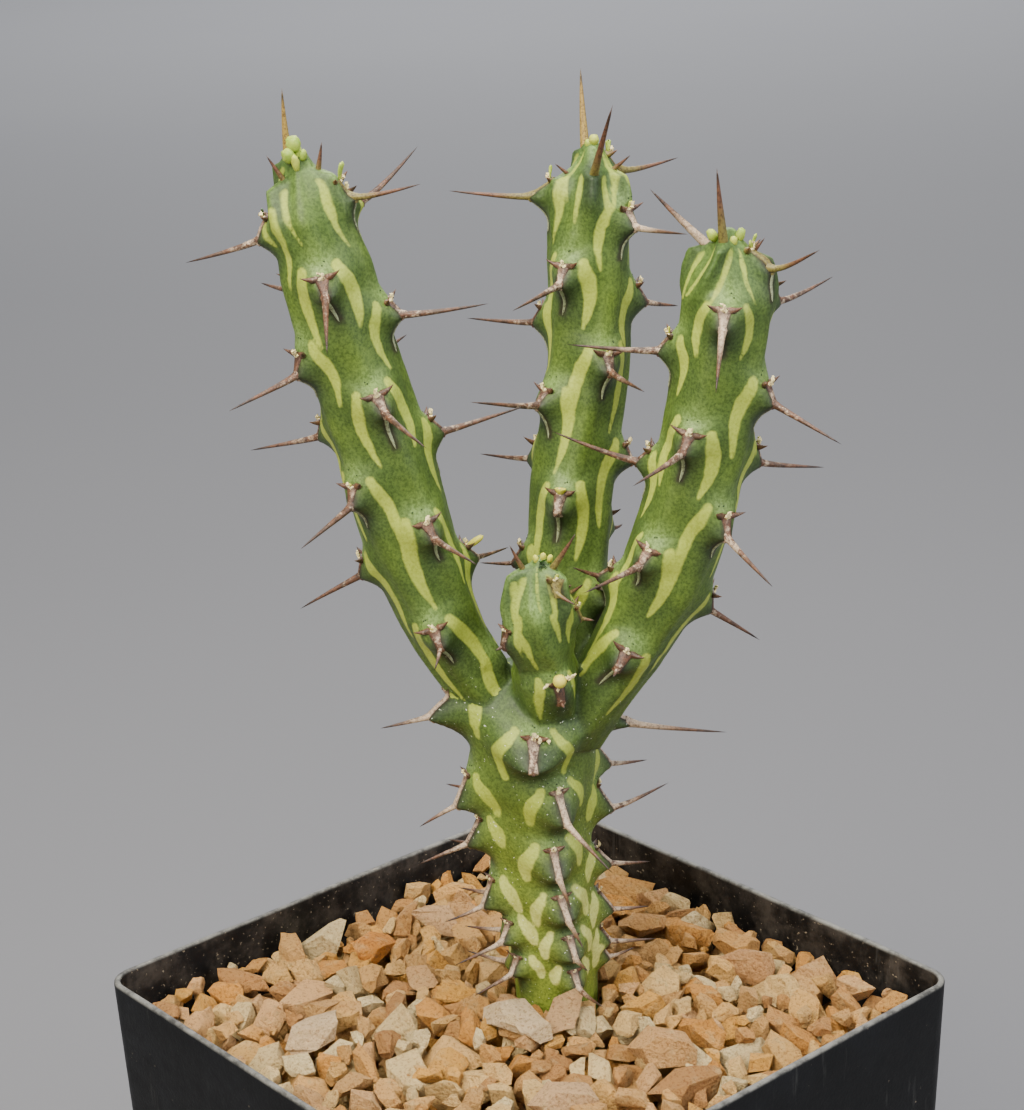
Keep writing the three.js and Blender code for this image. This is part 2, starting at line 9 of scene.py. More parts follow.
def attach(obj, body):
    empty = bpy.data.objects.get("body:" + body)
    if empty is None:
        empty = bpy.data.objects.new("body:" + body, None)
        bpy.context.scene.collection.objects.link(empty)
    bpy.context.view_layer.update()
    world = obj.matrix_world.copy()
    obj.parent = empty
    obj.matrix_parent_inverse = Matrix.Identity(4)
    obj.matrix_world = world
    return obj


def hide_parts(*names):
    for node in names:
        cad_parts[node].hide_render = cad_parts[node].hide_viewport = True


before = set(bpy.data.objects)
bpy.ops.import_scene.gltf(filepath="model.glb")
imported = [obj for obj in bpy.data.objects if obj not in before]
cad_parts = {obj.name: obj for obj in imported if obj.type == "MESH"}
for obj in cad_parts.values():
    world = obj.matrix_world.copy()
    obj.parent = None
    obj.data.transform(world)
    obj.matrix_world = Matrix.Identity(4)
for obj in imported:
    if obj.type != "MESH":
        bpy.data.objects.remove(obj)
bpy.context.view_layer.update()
MM = 0.001

# ---------------------------------------------------------------------------------------------
# Pot. A square, tapered nursery pot, injection moulded in near-black polypropylene, with a thin
# rounded lip that has worn pale, scuffed sides and four drain holes in its floor.
POT_HEIGHT, POT_TOP, POT_BASE, POT_CORNER, WALL, LIP_ROUND = 75, 40, 37.6, 3.8, 0.9, 0.3
DRAIN_RADIUS, DRAIN_PLACE, DRILL_DEPTH = 4, 22, 6
RINGS, RING_STEP, ROWS, ROW_STEP, SAG = 14, 5, 6, 5.3, 0.22


def colour(hexa):
    """An sRGB hex value as linear red, green, blue and alpha."""
    parts = [int(hexa[i:i + 2], 16) / 255 for i in (1, 3, 5)]
    return (*[p / 12.92 if p <= 0.04045 else ((p + 0.055) / 1.055) ** 2.4 for p in parts], 1)


def new_material(name):
    """An empty material, its node tree, and in it the place on the piece."""
    made = bpy.data.materials.new(name)
    made.use_nodes = True
    made.node_tree.nodes.clear()
    return made, made.node_tree, add(made.node_tree, "TexCoord", {}, "Object")


def add(tree, kind, inputs, out=0, **settings):
    """Adds a shader node. Inputs are values, hex colours or sockets; the answer is one output."""
    node = tree.nodes.new("ShaderNode" + kind)
    for key, value in settings.items():
        setattr(node, key, value)
    for place, value in inputs.items():
        if isinstance(value, bpy.types.NodeSocket):
            tree.links.new(value, node.inputs[place])
        else:
            node.inputs[place].default_value = colour(value) if isinstance(value, str) else value
    return node.outputs[out] if node.outputs else node


def only(piece):
    """Selects one object and makes it the active one."""
    bpy.ops.object.select_all(action="DESELECT")
    piece.select_set(True)
    bpy.context.view_layer.objects.active = piece


def select_where(piece, kind, test):
    """In edit mode, selects the vertices, edges or faces that pass a test, and nothing else."""
    bpy.ops.mesh.select_mode(type=kind)
    bpy.ops.mesh.select_all(action="DESELECT")
    shape = bmesh.from_edit_mesh(piece.data)
    for part in {"VERT": shape.verts, "EDGE": shape.edges, "FACE": shape.faces}[kind]:
        part.select_set(bool(test(part)))
    bmesh.update_edit_mesh(piece.data)


def apply_all(piece):
    """Applies a piece's modifiers in their order."""
    only(piece)
    for modifier in list(piece.modifiers):
        bpy.ops.object.modifier_apply(modifier=modifier.name)


def settle(piece, name, node, material):
    """Names a finished piece, puts its place into its mesh and ties it to the frame."""
    only(piece)
    bpy.ops.object.transform_apply(location=True, rotation=True, scale=True)
    piece.name = piece.data.name = name
    piece.data.materials.clear()
    piece.data.materials.append(material)
    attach(piece, "root")
    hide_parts(node)


bpy.ops.object.select_all(action="DESELECT")
bpy.ops.mesh.primitive_cube_add(size=2 * MM, location=(0, 0, 0))
pot = bpy.context.object
bpy.ops.object.mode_set(mode="EDIT")
bpy.ops.transform.resize(value=(POT_BASE, POT_BASE, POT_HEIGHT / 2), center_override=(0, 0, 0))
bpy.ops.transform.translate(value=(0, 0, POT_HEIGHT / 2 * MM))
select_where(pot, "VERT", lambda v: v.co.z > POT_HEIGHT / 2 * MM)
bpy.ops.transform.resize(value=(POT_TOP / POT_BASE, POT_TOP / POT_BASE, 1),
                         center_override=(0, 0, POT_HEIGHT * MM))
select_where(pot, "EDGE", lambda e: abs(e.verts[0].co.z - e.verts[1].co.z) > POT_HEIGHT / 2 * MM)
bpy.ops.mesh.bevel(offset=POT_CORNER * MM, segments=9, profile=0.5, affect="EDGES")
select_where(pot, "FACE", lambda f: f.normal.z > 0.9)
bpy.ops.mesh.delete(type="FACE")
# the walls are cut across and along, so that they can be a little uneven
for cut in range(1, RINGS + 1):
    bpy.ops.mesh.select_all(action="SELECT")
    bpy.ops.mesh.bisect(plane_co=(0, 0, cut * RING_STEP * MM), plane_no=(0, 0, 1))
for cut in range(-ROWS, ROWS + 1):
    for axis in ((1, 0, 0), (0, 1, 0)):
        bpy.ops.mesh.select_all(action="SELECT")
        bpy.ops.mesh.bisect(plane_co=[cut * ROW_STEP * MM * a for a in axis], plane_no=axis)
bpy.ops.object.mode_set(mode="OBJECT")
# the upper walls draw in and wave by about 0.1 mm, and the rim sags here and there
for vertex in pot.data.vertices:
    x, y, z = vertex.co / MM
    if z > 1:
        up = z / POT_HEIGHT
        wave = math.sin(0.09 * x + 1.3) * math.sin(0.08 * y + 0.4) + 0.4 * math.sin(0.23 * (x - y) + 2)
        side = 1 - (0.22 + 0.12 * wave) * up * 0.01
        vertex.co.x *= side
        vertex.co.y *= side
        vertex.co.z -= SAG * MM * up ** 6 * max(0, wave)
walls = pot.modifiers.new("walls", "SOLIDIFY")
walls.thickness, walls.offset, walls.use_even_offset = WALL * MM, -1, True
lip = pot.modifiers.new("lip", "BEVEL")
lip.width, lip.segments, lip.limit_method, lip.angle_limit = LIP_ROUND * MM, 3, "ANGLE", math.radians(50)
apply_all(pot)
for x in (-1, 1):
    for y in (-1, 1):
        bpy.ops.object.select_all(action="DESELECT")
        bpy.ops.mesh.primitive_cylinder_add(vertices=32, radius=DRAIN_RADIUS * MM, depth=DRILL_DEPTH * MM,
                                            location=(x * DRAIN_PLACE * MM, y * DRAIN_PLACE * MM, 0.7 * MM))
        drill = bpy.context.object
        hole = pot.modifiers.new("hole", "BOOLEAN")
        hole.operation, hole.object, hole.solver = "DIFFERENCE", drill, "EXACT"
        apply_all(pot)
        bpy.data.objects.remove(drill)
only(pot)
bpy.ops.object.shade_smooth_by_angle(angle=math.radians(40))

# Moulded polypropylene: near-black and satin, with fine scuffs, dust and a lip rubbed to grey.
PLASTIC, PLASTIC_LIGHT, PLASTIC_WORN, DUST, DIRT = "#030405", "#090b0e", "#85857f", "#a39680", "#4a443d"
SMOOTH, COLOURS = dict(interpolation_type="SMOOTHSTEP"), dict(data_type="RGBA")
pot_plastic, tree, where = new_material("moulded_black_polypropylene")
inside = add(tree, "Attribute", {}, "Fac", attribute_name="inside")
# noises, each with its size in mm, detail and roughness. The mould's grain is drawn at 0.5 mm, coarser
# than it is, so that it shows
broad, rubbed, grain, satin = [
    add(tree, "TexNoise", {"Vector": where, "Scale": 1 / (size * MM), "Detail": detail, "Roughness": rough})
    for size, detail, rough in ((14, 5, 0.65), (3.2, 5, 0.75), (0.5, 4, 0.65), (2.5, 5, 0.7))]
broad = add(tree, "MapRange", {"Value": broad, "From Min": 0.42, "From Max": 0.66}, **SMOOTH)
body = add(tree, "Mix", {0: broad, 6: PLASTIC, 7: PLASTIC_LIGHT}, 2, **COLOURS)
upright = add(tree, "Mapping", {"Vector": where, "Scale": (1, 1, 0.12)})
# over the plastic: scuffs that run down, specks of dust, and earth and grit that stick inside.
# Each row: place, size in mm, detail, roughness, where it starts and is full, most of it, mask, colour
for place, size, detail, rough, low, high, most, mask, tint in (
        (upright, 1.6, 4, 0.7, 0.6, 0.75, 0.09, None, PLASTIC_WORN),
        (where, 0.7, 2, 0.5, 0.73, 0.8, 0.4, None, DUST), (where, 5, 5, 0.7, 0.38, 0.72, 0.6, inside, DIRT),
        (where, 0.55, 2, 0.5, 0.66, 0.74, 0.45, inside, DUST)):
    layer = add(tree, "TexNoise", {"Vector": place, "Scale": 1 / (size * MM), "Detail": detail,
                                   "Roughness": rough})
    layer = add(tree, "MapRange", {"Value": layer, "From Min": low, "From Max": high, "To Max": most}, **SMOOTH)
    if mask:
        layer = add(tree, "Math", {0: layer, 1: mask}, operation="MULTIPLY")
    body = add(tree, "Mix", {0: layer, 6: body, 7: tint}, 2, **COLOURS)
height = add(tree, "SeparateXYZ", {"Vector": where}, "Z")
edge = add(tree, "MapRange", {"Value": height, "From Min": (POT_HEIGHT - 0.5) * MM,
                              "From Max": (POT_HEIGHT - 0.02) * MM}, **SMOOTH)
rubbed = add(tree, "MapRange", {"Value": rubbed, "From Min": 0.33, "From Max": 0.62, "To Min": 0.12,
                                "To Max": 0.6}, **SMOOTH)
worn = add(tree, "Math", {0: edge, 1: rubbed}, operation="MULTIPLY")
body = add(tree, "Mix", {0: worn, 6: body, 7: PLASTIC_WORN}, 2, **COLOURS)
grain = add(tree, "Bump", {"Strength": 0.35, "Distance": 0.00012, "Height": grain})
satin = add(tree, "MapRange", {"Value": satin, "To Min": 0.42, "To Max": 0.66})
shader = add(tree, "BsdfPrincipled", {"Base Color": body, "Roughness": satin, "IOR": 1.49, "Normal": grain,
                                      "Specular IOR Level": 0.25})
add(tree, "OutputMaterial", {"Surface": shader})
inside_mark = pot.data.attributes.new("inside", "FLOAT", "POINT")
for vertex, mark in zip(pot.data.vertices, inside_mark.data):
    x, y, z = abs(vertex.co.x) / MM, abs(vertex.co.y) / MM, vertex.co.z / MM
    flat_half = POT_BASE + (POT_TOP - POT_BASE) * z / POT_HEIGHT - POT_CORNER
    beyond = math.hypot(max(x - flat_half, 0), max(y - flat_half, 0)) - POT_CORNER
    # inside is what lies more than halfway through the wall and the floor
    mark.value = 1.0 if beyond < -0.62 * WALL and z > 0.5 * WALL else 0.0
settle(pot, "pot_shell", "pot", pot_plastic)

# ---------------------------------------------------------------------------------------------
# Potting soil. Damp peat and bark fines that fill the pot up to the crushed stone. The solid
# that the frame brings has the right shape, so it only gets its own crumbly material.
SOIL_TOP, DUST_DEPTH = 62.5, 0.6
SOIL_DARK, SOIL_MID, SOIL_FIBRE, STONE_DUST = "#1a110b", "#3b2a1e", "#6a4c33", "#a8845a"
soil_peat, tree, where = new_material("damp_peat_potting_soil")
lumps = add(tree, "TexNoise", {"Vector": where, "Scale": 1 / (2.2 * MM), "Detail": 8, "Roughness": 0.7})
body = SOIL_DARK
for low, high, tint in ((0.3, 0.55, SOIL_MID), (0.55, 0.75, SOIL_FIBRE)):
    layer = add(tree, "MapRange", {"Value": lumps, "From Min": low, "From Max": high})
    body = add(tree, "Mix", {0: layer, 6: body, 7: tint}, 2, **COLOURS)
height = add(tree, "SeparateXYZ", {"Vector": where}, "Z")
dusted = add(tree, "MapRange", {"Value": height, "From Min": (SOIL_TOP - DUST_DEPTH) * MM,
                                "From Max": (SOIL_TOP - 0.1) * MM, "To Max": 0.55}, **SMOOTH)
body = add(tree, "Mix", {0: dusted, 6: body, 7: STONE_DUST}, 2, **COLOURS)
crumb = add(tree, "TexNoise", {"Vector": where, "Scale": 1 / (1.6 * MM), "Detail": 8, "Roughness": 0.7})
crumb = add(tree, "Bump", {"Strength": 0.9, "Distance": 0.0012, "Height": crumb})
shader = add(tree, "BsdfPrincipled", {"Base Color": body, "Roughness": 0.95, "IOR": 1.4, "Normal": crumb})
add(tree, "OutputMaterial", {"Surface": shader})
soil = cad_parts["potting_soil"]
soil.data.materials.clear()
soil.data.materials.append(soil_peat)

# ---------------------------------------------------------------------------------------------
# Crushed stone. Loose, dry, angular chips of tan, cream and ochre stone, 2 to 9 mm across,
# poured over the soil and heaped a little against the trunk. Each chip lies on those below it.
PLANT_TURN = math.radians(49.33)
TRUNK_FOOT, TRUNK_REACH = (4.2, 4.5), 5.7
BED_TOP, MOUND, MOUND_REACH = 70, 1.5, 20
CHIP_KINDS, CELL, CLOSED, SINK, LAST_SINK = 28, 0.4, 500.0, 0.25, 1.6
# layers of chips: tries, usual size as a logarithm, room to the walls in sizes, places looked at, and
# how far above the wanted top a chip may reach, in mm and in sizes. First come small chips low down,
# then the large ones that show, then a few that fall into gaps
LAYERS = [(900, 1.1, 0.5, 12, -2.6, 0), (1300, 1.6, 0.5, 12, 0.9, 0.22), (450, 0.9, 0.4, 45, 0.9, 0.22)]
STONE_COLOURS = ["#e6b164", "#edbe72", "#f1c97f", "#f2d392", "#dea454", "#e5b272", "#cd9650", "#eab766",
                 "#c48d4c", "#f4dba0", "#e19e44", "#dca962", "#edb04e"]
# the stones that stand out by their place, in mm: x, y, span, lengths of the three sides, colour
LAST_CHIPS = [(-21, 16.5, 6.2, (1.0, 0.85, 0.6), "#dd8f2f"), (4.6, -1.4, 5.6, (1.25, 0.9, 0.34), "#dfb37c"),
              (-1.5, -7.2, 6.8, (1.35, 0.85, 0.55), "#eccfa0"), (-12.5, 24, 5.4, (1.1, 0.8, 0.6), "#e2b680"),
              (17, -13, 6.2, (1.1, 1.0, 0.6), "#dfab68"), (-28, -6, 6.4, (1.3, 0.8, 0.5), "#e8c898"),
              (30, 8, 5.8, (1.2, 0.75, 0.6), "#d29c60"), (4, -25, 6, (1.15, 0.9, 0.55), "#e6bb86")]


def into_pot_frame(points):
    """Points of the plant's own frame, in mm above the rim, in the pot's frame, in mm."""
    x, y, z = np.asarray(points, float).T
    c, s = math.cos(PLANT_TURN), math.sin(PLANT_TURN)
    return np.stack([c * x - s * y, s * x + c * y, z + POT_HEIGHT], -1)


def chip_shape(rng):
    """One angular chip about 1 across: a cube broken along random planes, a little out of true."""
    bpy.ops.object.select_all(action="DESELECT")
    bpy.ops.mesh.primitive_cube_add(size=1.1)
    chip = bpy.context.object
    bpy.ops.object.mode_set(mode="EDIT")
    for _ in range(rng.integers(11, 16)):
        bpy.ops.mesh.select_all(action="SELECT")
        way = rng.normal(size=3)
        way /= np.linalg.norm(way)
        bpy.ops.mesh.bisect(plane_co=way * rng.uniform(0.32, 0.5), plane_no=way, use_fill=True,
                            clear_outer=True)
    bpy.ops.mesh.select_all(action="SELECT")
    bpy.ops.mesh.remove_doubles(threshold=0.09)
    bpy.ops.mesh.quads_convert_to_tris()
    bpy.ops.mesh.normals_make_consistent(inside=False)
    bpy.ops.object.mode_set(mode="OBJECT")
    points = np.array([v.co for v in chip.data.vertices])
    faces = np.array([p.vertices[:] for p in chip.data.polygons])
    bpy.data.objects.remove(chip)
    points += rng.normal(size=points.shape) * 0.03
    return points - (points.max(0) + points.min(0)) / 2, faces


def turned(rng):
    """A random turn as a 3 by 3 matrix."""
    way = rng.normal(size=4)
    w, x, y, z = way / np.linalg.norm(way)
    return np.array([[1 - 2 * (y * y + z * z), 2 * (x * y - z * w), 2 * (x * z + y * w)],
                     [2 * (x * y + z * w), 1 - 2 * (x * x + z * z), 2 * (y * z - x * w)],
                     [2 * (x * z - y * w), 2 * (y * z + x * w), 1 - 2 * (x * x + y * y)]])


def new_piece(name, points, faces):
    """A new object of points in metres and faces."""
    mesh = bpy.data.meshes.new(name)
    mesh.from_pydata(points, [], faces)
    piece = bpy.data.objects.new(name, mesh)
    bpy.context.collection.objects.link(piece)
    return piece


def write_mark(piece, name, values, kind="FLOAT", key="value"):
    """Writes one value for each vertex, which the piece's material reads by its name."""
    mark = piece.data.attributes.new(name, kind, "POINT")
    mark.data.foreach_set(key, np.asarray(values, np.float32).ravel())


rng = np.random.default_rng(21)
chips = [chip_shape(rng) for _ in range(CHIP_KINDS)]
# the bed as a map of small cells: what is filled so far, and what the walls and the trunk close off
half_cells = int(POT_TOP / CELL)
line = (np.arange(2 * half_cells) - half_cells + 0.5) * CELL
grid_x, grid_y = np.meshgrid(line, line, indexing="ij")
foot = into_pot_frame((*TRUNK_FOOT, 0))[:2]
from_trunk = np.hypot(grid_x - foot[0], grid_y - foot[1])
inner = POT_BASE + (POT_TOP - POT_BASE) * 0.9 - WALL - 0.35
corner = POT_CORNER + 0.2
past_x, past_y = [np.maximum(np.abs(grid) - inner + corner, 0) for grid in (grid_x, grid_y)]
room = np.minimum(inner - np.maximum(np.abs(grid_x), np.abs(grid_y)), from_trunk - TRUNK_REACH)
closed = (room < 0) | (past_x ** 2 + past_y ** 2 > corner ** 2)
filled = np.where(closed, CLOSED, SOIL_TOP + 0.1)
swell = 0.5 * np.sin(grid_x * 0.21 + 1) * np.sin(grid_y * 0.17 + 2)
wanted = BED_TOP + MOUND * np.exp(-(from_trunk / MOUND_REACH) ** 2) + swell
stones = dict(points=[], faces=[], tones=[], seeds=[], count=0)


def lay(points, faces, x, y, sink):
    """Lets a chip down at x, y until it rests on what is filled under it, and sinks in a little."""
    edges = (points[faces] + points[faces][:, [1, 2, 0]]).reshape(-1, 3) / 2
    samples = np.vstack([points, points[faces].mean(1), edges])
    i, j = [np.clip(((samples[:, axis] + at) / CELL + half_cells).astype(int), 0, 2 * half_cells - 1)
            for axis, at in enumerate((x, y))]
    rest = (filled[i, j] - samples[:, 2]).max() - sink
    return dict(cells=(i, j), tops=samples[:, 2] + rest, place=[x, y, rest], rest=rest)


def keep(points, faces, fall, tone, seed):
    """Leaves a chip where it was let down, and fills the cells that it takes up."""
    np.maximum.at(filled, fall["cells"], fall["tops"])
    stones["faces"].append(faces + stones["count"])
    stones["points"].append(points + fall["place"])
    stones["count"] += len(points)
    stones["tones"].append(np.tile([*tone, 1.0], (len(points), 1)))
    stones["seeds"].append(np.full(len(points), seed))


palette = np.array([colour(c)[:3] for c in STONE_COLOURS])
open_cells = np.argwhere(~closed)
for tries, size, space, places, above, above_share in LAYERS:
    for _ in range(tries):
        points, faces = chips[rng.integers(CHIP_KINDS)]
        span = np.clip(rng.lognormal(size, 0.3), 1.5, 8.4)
        sides = rng.uniform([0.95, 0.68, 0.45], [1.3, 1.0, 0.85])
        points = (points * sides * span) @ turned(rng).T
        # of some places away from the walls, the chip takes the one where it comes to lie lowest
        spots = open_cells[rng.integers(len(open_cells), size=60)]
        spots = spots[room[spots[:, 0], spots[:, 1]] > space * span][:places]
        falls = [lay(points, faces, line[a], line[b], SINK) for a, b in spots]
        over = [fall["rest"] + points[:, 2].max() - wanted[a, b] for fall, (a, b) in zip(falls, spots)]
        tone = palette[rng.integers(len(palette))] * rng.uniform(0.9, 1.12)
        seed = rng.random()
        if min(over) < above + above_share * span:
            keep(points, faces, falls[int(np.argmin(over))], tone, seed)
for x, y, span, sides, tint in LAST_CHIPS:
    points, faces = chips[rng.integers(CHIP_KINDS)]
    lean = Matrix.Rotation(rng.uniform(-0.3, 0.3), 3, "X") @ Matrix.Rotation(rng.uniform(0, 3), 3, "Z")
    points = (points * sides * span) @ np.array(lean).T
    place = into_pot_frame((x, y, 0))[:2]
    # a little further from the trunk each time, until the stone lies clear of it
    falls = [lay(points, faces, *(place + (place - foot) * out), LAST_SINK) for out in np.arange(0, 1, 0.08)]
    clear = next(fall for fall in falls if fall["rest"] < CLOSED / 2)
    keep(points, faces, clear, colour(tint)[:3], rng.random())

stone_piece = new_piece("crushed_stone", np.vstack(stones["points"]) * MM, np.vstack(stones["faces"]).tolist())
write_mark(stone_piece, "tone", np.vstack(stones["tones"]), "FLOAT_COLOR", "color")
write_mark(stone_piece, "chip", np.concatenate(stones["seeds"]))
only(stone_piece)
bpy.ops.object.shade_smooth_by_angle(angle=math.radians(32))
print("chips laid:", len(stones["faces"]), "faces:", len(stone_piece.data.polygons))

# Dry crushed sandstone: matt, gritty broken faces, mottled from cream to rust, with painted shade in the pits
# of its grain.
STONE_PALE, STONE_RUST, STONE_SHADE, GRIT_SHADE = "#f4d898", "#b5752e", "#947248", "#b38a56"
stone_chips, tree, where = new_material("dry_crushed_sandstone")
tone = add(tree, "Attribute", {}, "Color", attribute_name="tone")
chip = add(tree, "Attribute", {}, "Fac", attribute_name="chip")
shift = add(tree, "CombineXYZ", {"X": chip, "Y": chip, "Z": chip})
own_place = add(tree, "VectorMath", {0: shift, 1: (0.4, 0.7, 1.1), 2: where}, operation="MULTIPLY_ADD")
body = tone
# over its own tone: pale, rusty and shaded patches. Each row: size in mm, detail, roughness, how much
# it is drawn out, where it starts and is full, most of it, colour
for size, detail, rough, drawn, low, high, most, tint in (
        (2.6, 6, 0.65, 0, 0.5, 0.74, 0.45, STONE_PALE), (3.5, 5, 0.7, 0.6, 0.54, 0.7, 0.22, STONE_RUST),
        (1.3, 6, 0.75, 0, 0.56, 0.72, 0.4, STONE_SHADE)):
    layer = add(tree, "TexNoise", {"Vector": own_place, "Scale": 1 / (size * MM), "Detail": detail,
                                   "Roughness": rough, "Distortion": drawn})
    layer = add(tree, "MapRange", {"Value": layer, "From Min": low, "From Max": high, "To Max": most}, **SMOOTH)
    body = add(tree, "Mix", {0: layer, 6: body, 7: tint}, 2, **COLOURS)
grit = add(tree, "TexNoise", {"Vector": own_place, "Scale": 1 / (0.42 * MM), "Detail": 5, "Roughness": 0.7})
# painted shade: the chip is darkened where its grain, which also drives the bump, sinks into pits
pit_shade = add(tree, "MapRange", {"Value": grit, "From Min": 0.5, "From Max": 0.36, "To Max": 0.6}, **SMOOTH)
body = add(tree, "Mix", {0: pit_shade, 6: body, 7: GRIT_SHADE}, 2, blend_type="MULTIPLY", **COLOURS)
broken = add(tree, "TexNoise", {"Vector": own_place, "Scale": 1 / (1.2 * MM), "Detail": 8, "Roughness": 0.72})
broken = add(tree, "Math", {0: grit, 1: 0.45, 2: broken}, operation="MULTIPLY_ADD")
broken = add(tree, "Bump", {"Strength": 1.0, "Distance": 0.0026, "Height": broken})
shader = add(tree, "BsdfPrincipled", {"Base Color": body, "Roughness": 0.9, "IOR": 1.5, "Normal": broken})
add(tree, "OutputMaterial", {"Surface": shader})
settle(stone_piece, "crushed_stone", "gravel", stone_chips)

# ---------------------------------------------------------------------------------------------
# Stems. Trunk, three branches and a young shoot, grown as one: five soft ribs, and on each rib
# teeth that stand out like little wings, with hollow undersides. The skin is green and waxy,
# with two pale crescents beside each tooth.

# Places are in mm, in the plant's frame: x to the right, y away from the eye, z above the pot's rim.
# Angles are in degrees. Turns and bearings go round a stem from its front. Each stem has
#   line: points of its centre line, as x, y, z and radius
#   orders, height, turn: the first and the last tooth, counted upwards in one spiral, and a tooth's
#     height and turn as polynomials of its place in that order
#   drop, stand, reach, shortest: how far a tooth's tip hangs below its head and stands out, and the
#     usual and the shortest length of a spine
#   own: teeth that leave the rule, as order, shift up and round, the spine's bearing, rise and length,
#     and at times a share of the stand. A tooth with length 0 is bare
#   crown: spines at the tip, as depth below it, bearing, rise, length, and at times age, dryness and
#     the wind of the ridge below
#   white, dry: the orders of teeth with white horn, and how weathered the others are
#   flare, bow, broad: how the stripes beside a tooth spread and bend, and broader teeth by their order
TRUNK = dict(
    line=[[4.3, 4.5, -19, 5], [4.1, 4.5, -4, 5.3], [3.7, 4.5, 6, 5.8], [2.8, 4.5, 14, 6.2],
          [2.4, 4.5, 22, 6.6], [1.9, 4.5, 31, 7.7], [2.2, 4.3, 36, 8.1], [3, 3.8, 41, 7], [3.2, 3.4, 44, 4.2]],
    orders=(3, 33), height=(16.1, 0.666, 0.0246, -0.00009), turn=(27.1, 143.5, -0.0082),
    drop=4, stand=4.3, reach=7, shortest=4.5,
    own=[[3, 2, 0, 98, 20, 3.5], [5, 0, 0, 24, 9, 7], [10, 0, 0, 13, 16, 6], [13, -1, 5, 112, -10, 5],
         [15, 0, 0, 12, 0, 7], [17, -1, -12, -88, -12, 5], [18, -1, 8, 116, -16, 5.5], [20, 0, 0, 8, 0, 8],
         [22, 0, -12, -88, -18, 6.5], [23, 0, 14, 112, 14, 8], [25, 0, 12, 35, -22, 9.3],
         [27, -2.4, -10, -90, -26, 5], [28, -3.4, 32, 128, -14, 6], [30, 0, -4, 0, 20, 1],
         [32, -1.2, -9, -92, -18, 5.6, 1.45], [33, -3.5, 14, 89, -1, 12, 1.25]],
    crown=[], white=(), flare=1.6, bow=0.6, broad={30: 2.1, 25: 1.25, 20: 1.3, 15: 1.3, 10: 1.3}, dry=0.95)
LEFT = dict(
    line=[[1.5, 4, 32.5, 4.2], [-2, 3.5, 37.5, 4.6], [-7.8, 2.5, 48, 4.9], [-12.3, 1.5, 61.5, 5.7],
          [-15, 0.8, 73, 5.7], [-18.7, 0, 87.3, 5.5], [-20.3, -0.5, 95.8, 5.4], [-21.6, -1, 102.2, 4.5],
          [-22.6, -1.2, 108.8, 2.5]],
    orders=(1, 20), height=(4.47, 4.84, -0.0877, 0.0015), turn=(145.6, 139.35, 0.0137),
    drop=2.35, stand=2.7, reach=10.2, shortest=9,
    own=[[1, 1, -18, -106, 4, 0, 0.3], [2, 0, 0, 60, 0, 0, 0.3], [4, -0.9, 10, -40, -30, 2.6],
         [5, 0.8, -8, 140, -17, 5.5], [6, 0.5, 6, -100, -14, 9], [7, 0.8, -13, 29, -6, 9.6],
         [9, 0, 0, -35, -2, 10], [10, 0, 5, 98, 1, 10.5], [11, 0, 10, -110, 0, 9.5],
         [12, 0, 0, 25, -12, 10.3], [14, 0, 3, -48, 2, 10], [15, 0, 0, 78, -2, 10.3],
         [16, 1, 6, -151, -1, 9], [17, -0.6, 0, -1, -19, 10.3], [18, 3.8, -16, 126, 24, 10],
         [19, 0, -4, -106, -6, 9.5], [20, -0.4, 16, 72, 6, 8]],
    crown=[[2.6, -72, 66, 3.4, 0.12, 0, 5], [2, 62, 68, 3.2], [0.4, -120, 98, 8, -0.3, 0, 0]], white=(),
    flare=0.6, bow=0.85, broad={}, dry=0.3)
MIDDLE = dict(
    line=[[5.6, 6.8, 33.5, 4.5], [6.3, 8, 38.7, 4.7], [7.5, 11, 50, 4.9], [8.6, 13, 64.4, 5.1],
          [10.8, 14.5, 79, 5], [11.6, 15.5, 95.6, 4.9], [12, 15.8, 100.9, 4.2], [12.3, 16, 105.9, 2.5]],
    orders=(2, 19), height=(5.27, 4.411, -0.0228, -0.00102), turn=(97.9, -137.55, -0.028),
    drop=2.35, stand=2.7, reach=9.8, shortest=8,
    own=[[4, 0, 0, -100, 0, 4], [5, 0, 0, 160, 0, 4], [6, 0, -8, -10, 0, 1.4],
         [7, 0.4, 16, -134, -5, 8.4], [8, -1.6, 6, 100, -5, 7], [9, 0.8, 6, -55, 4, 10],
         [11, -0.8, 0, 20, -1, 10], [12, 0.4, 10, -116, 0, 9], [13, 0, -10, 145, -10, 7.5],
         [14, 0, 0, -34, -8, 10.2], [16, 0.9, 2, 38, 4, 8.8], [17, 0.8, -4, -99, 2, 9.8, 1.5],
         [18, 1.6, -20, 130, 8, 9.2], [19, -0.6, 4, 15, 54, 11.6]],
    crown=[[0.6, -150, 80, 9.4, -0.5, 0, 0], [2.8, 60, 40, 3], [3.6, -70, 36, 2.4]], white=(16,),
    flare=0.6, bow=0.85, broad={}, dry=0.3)
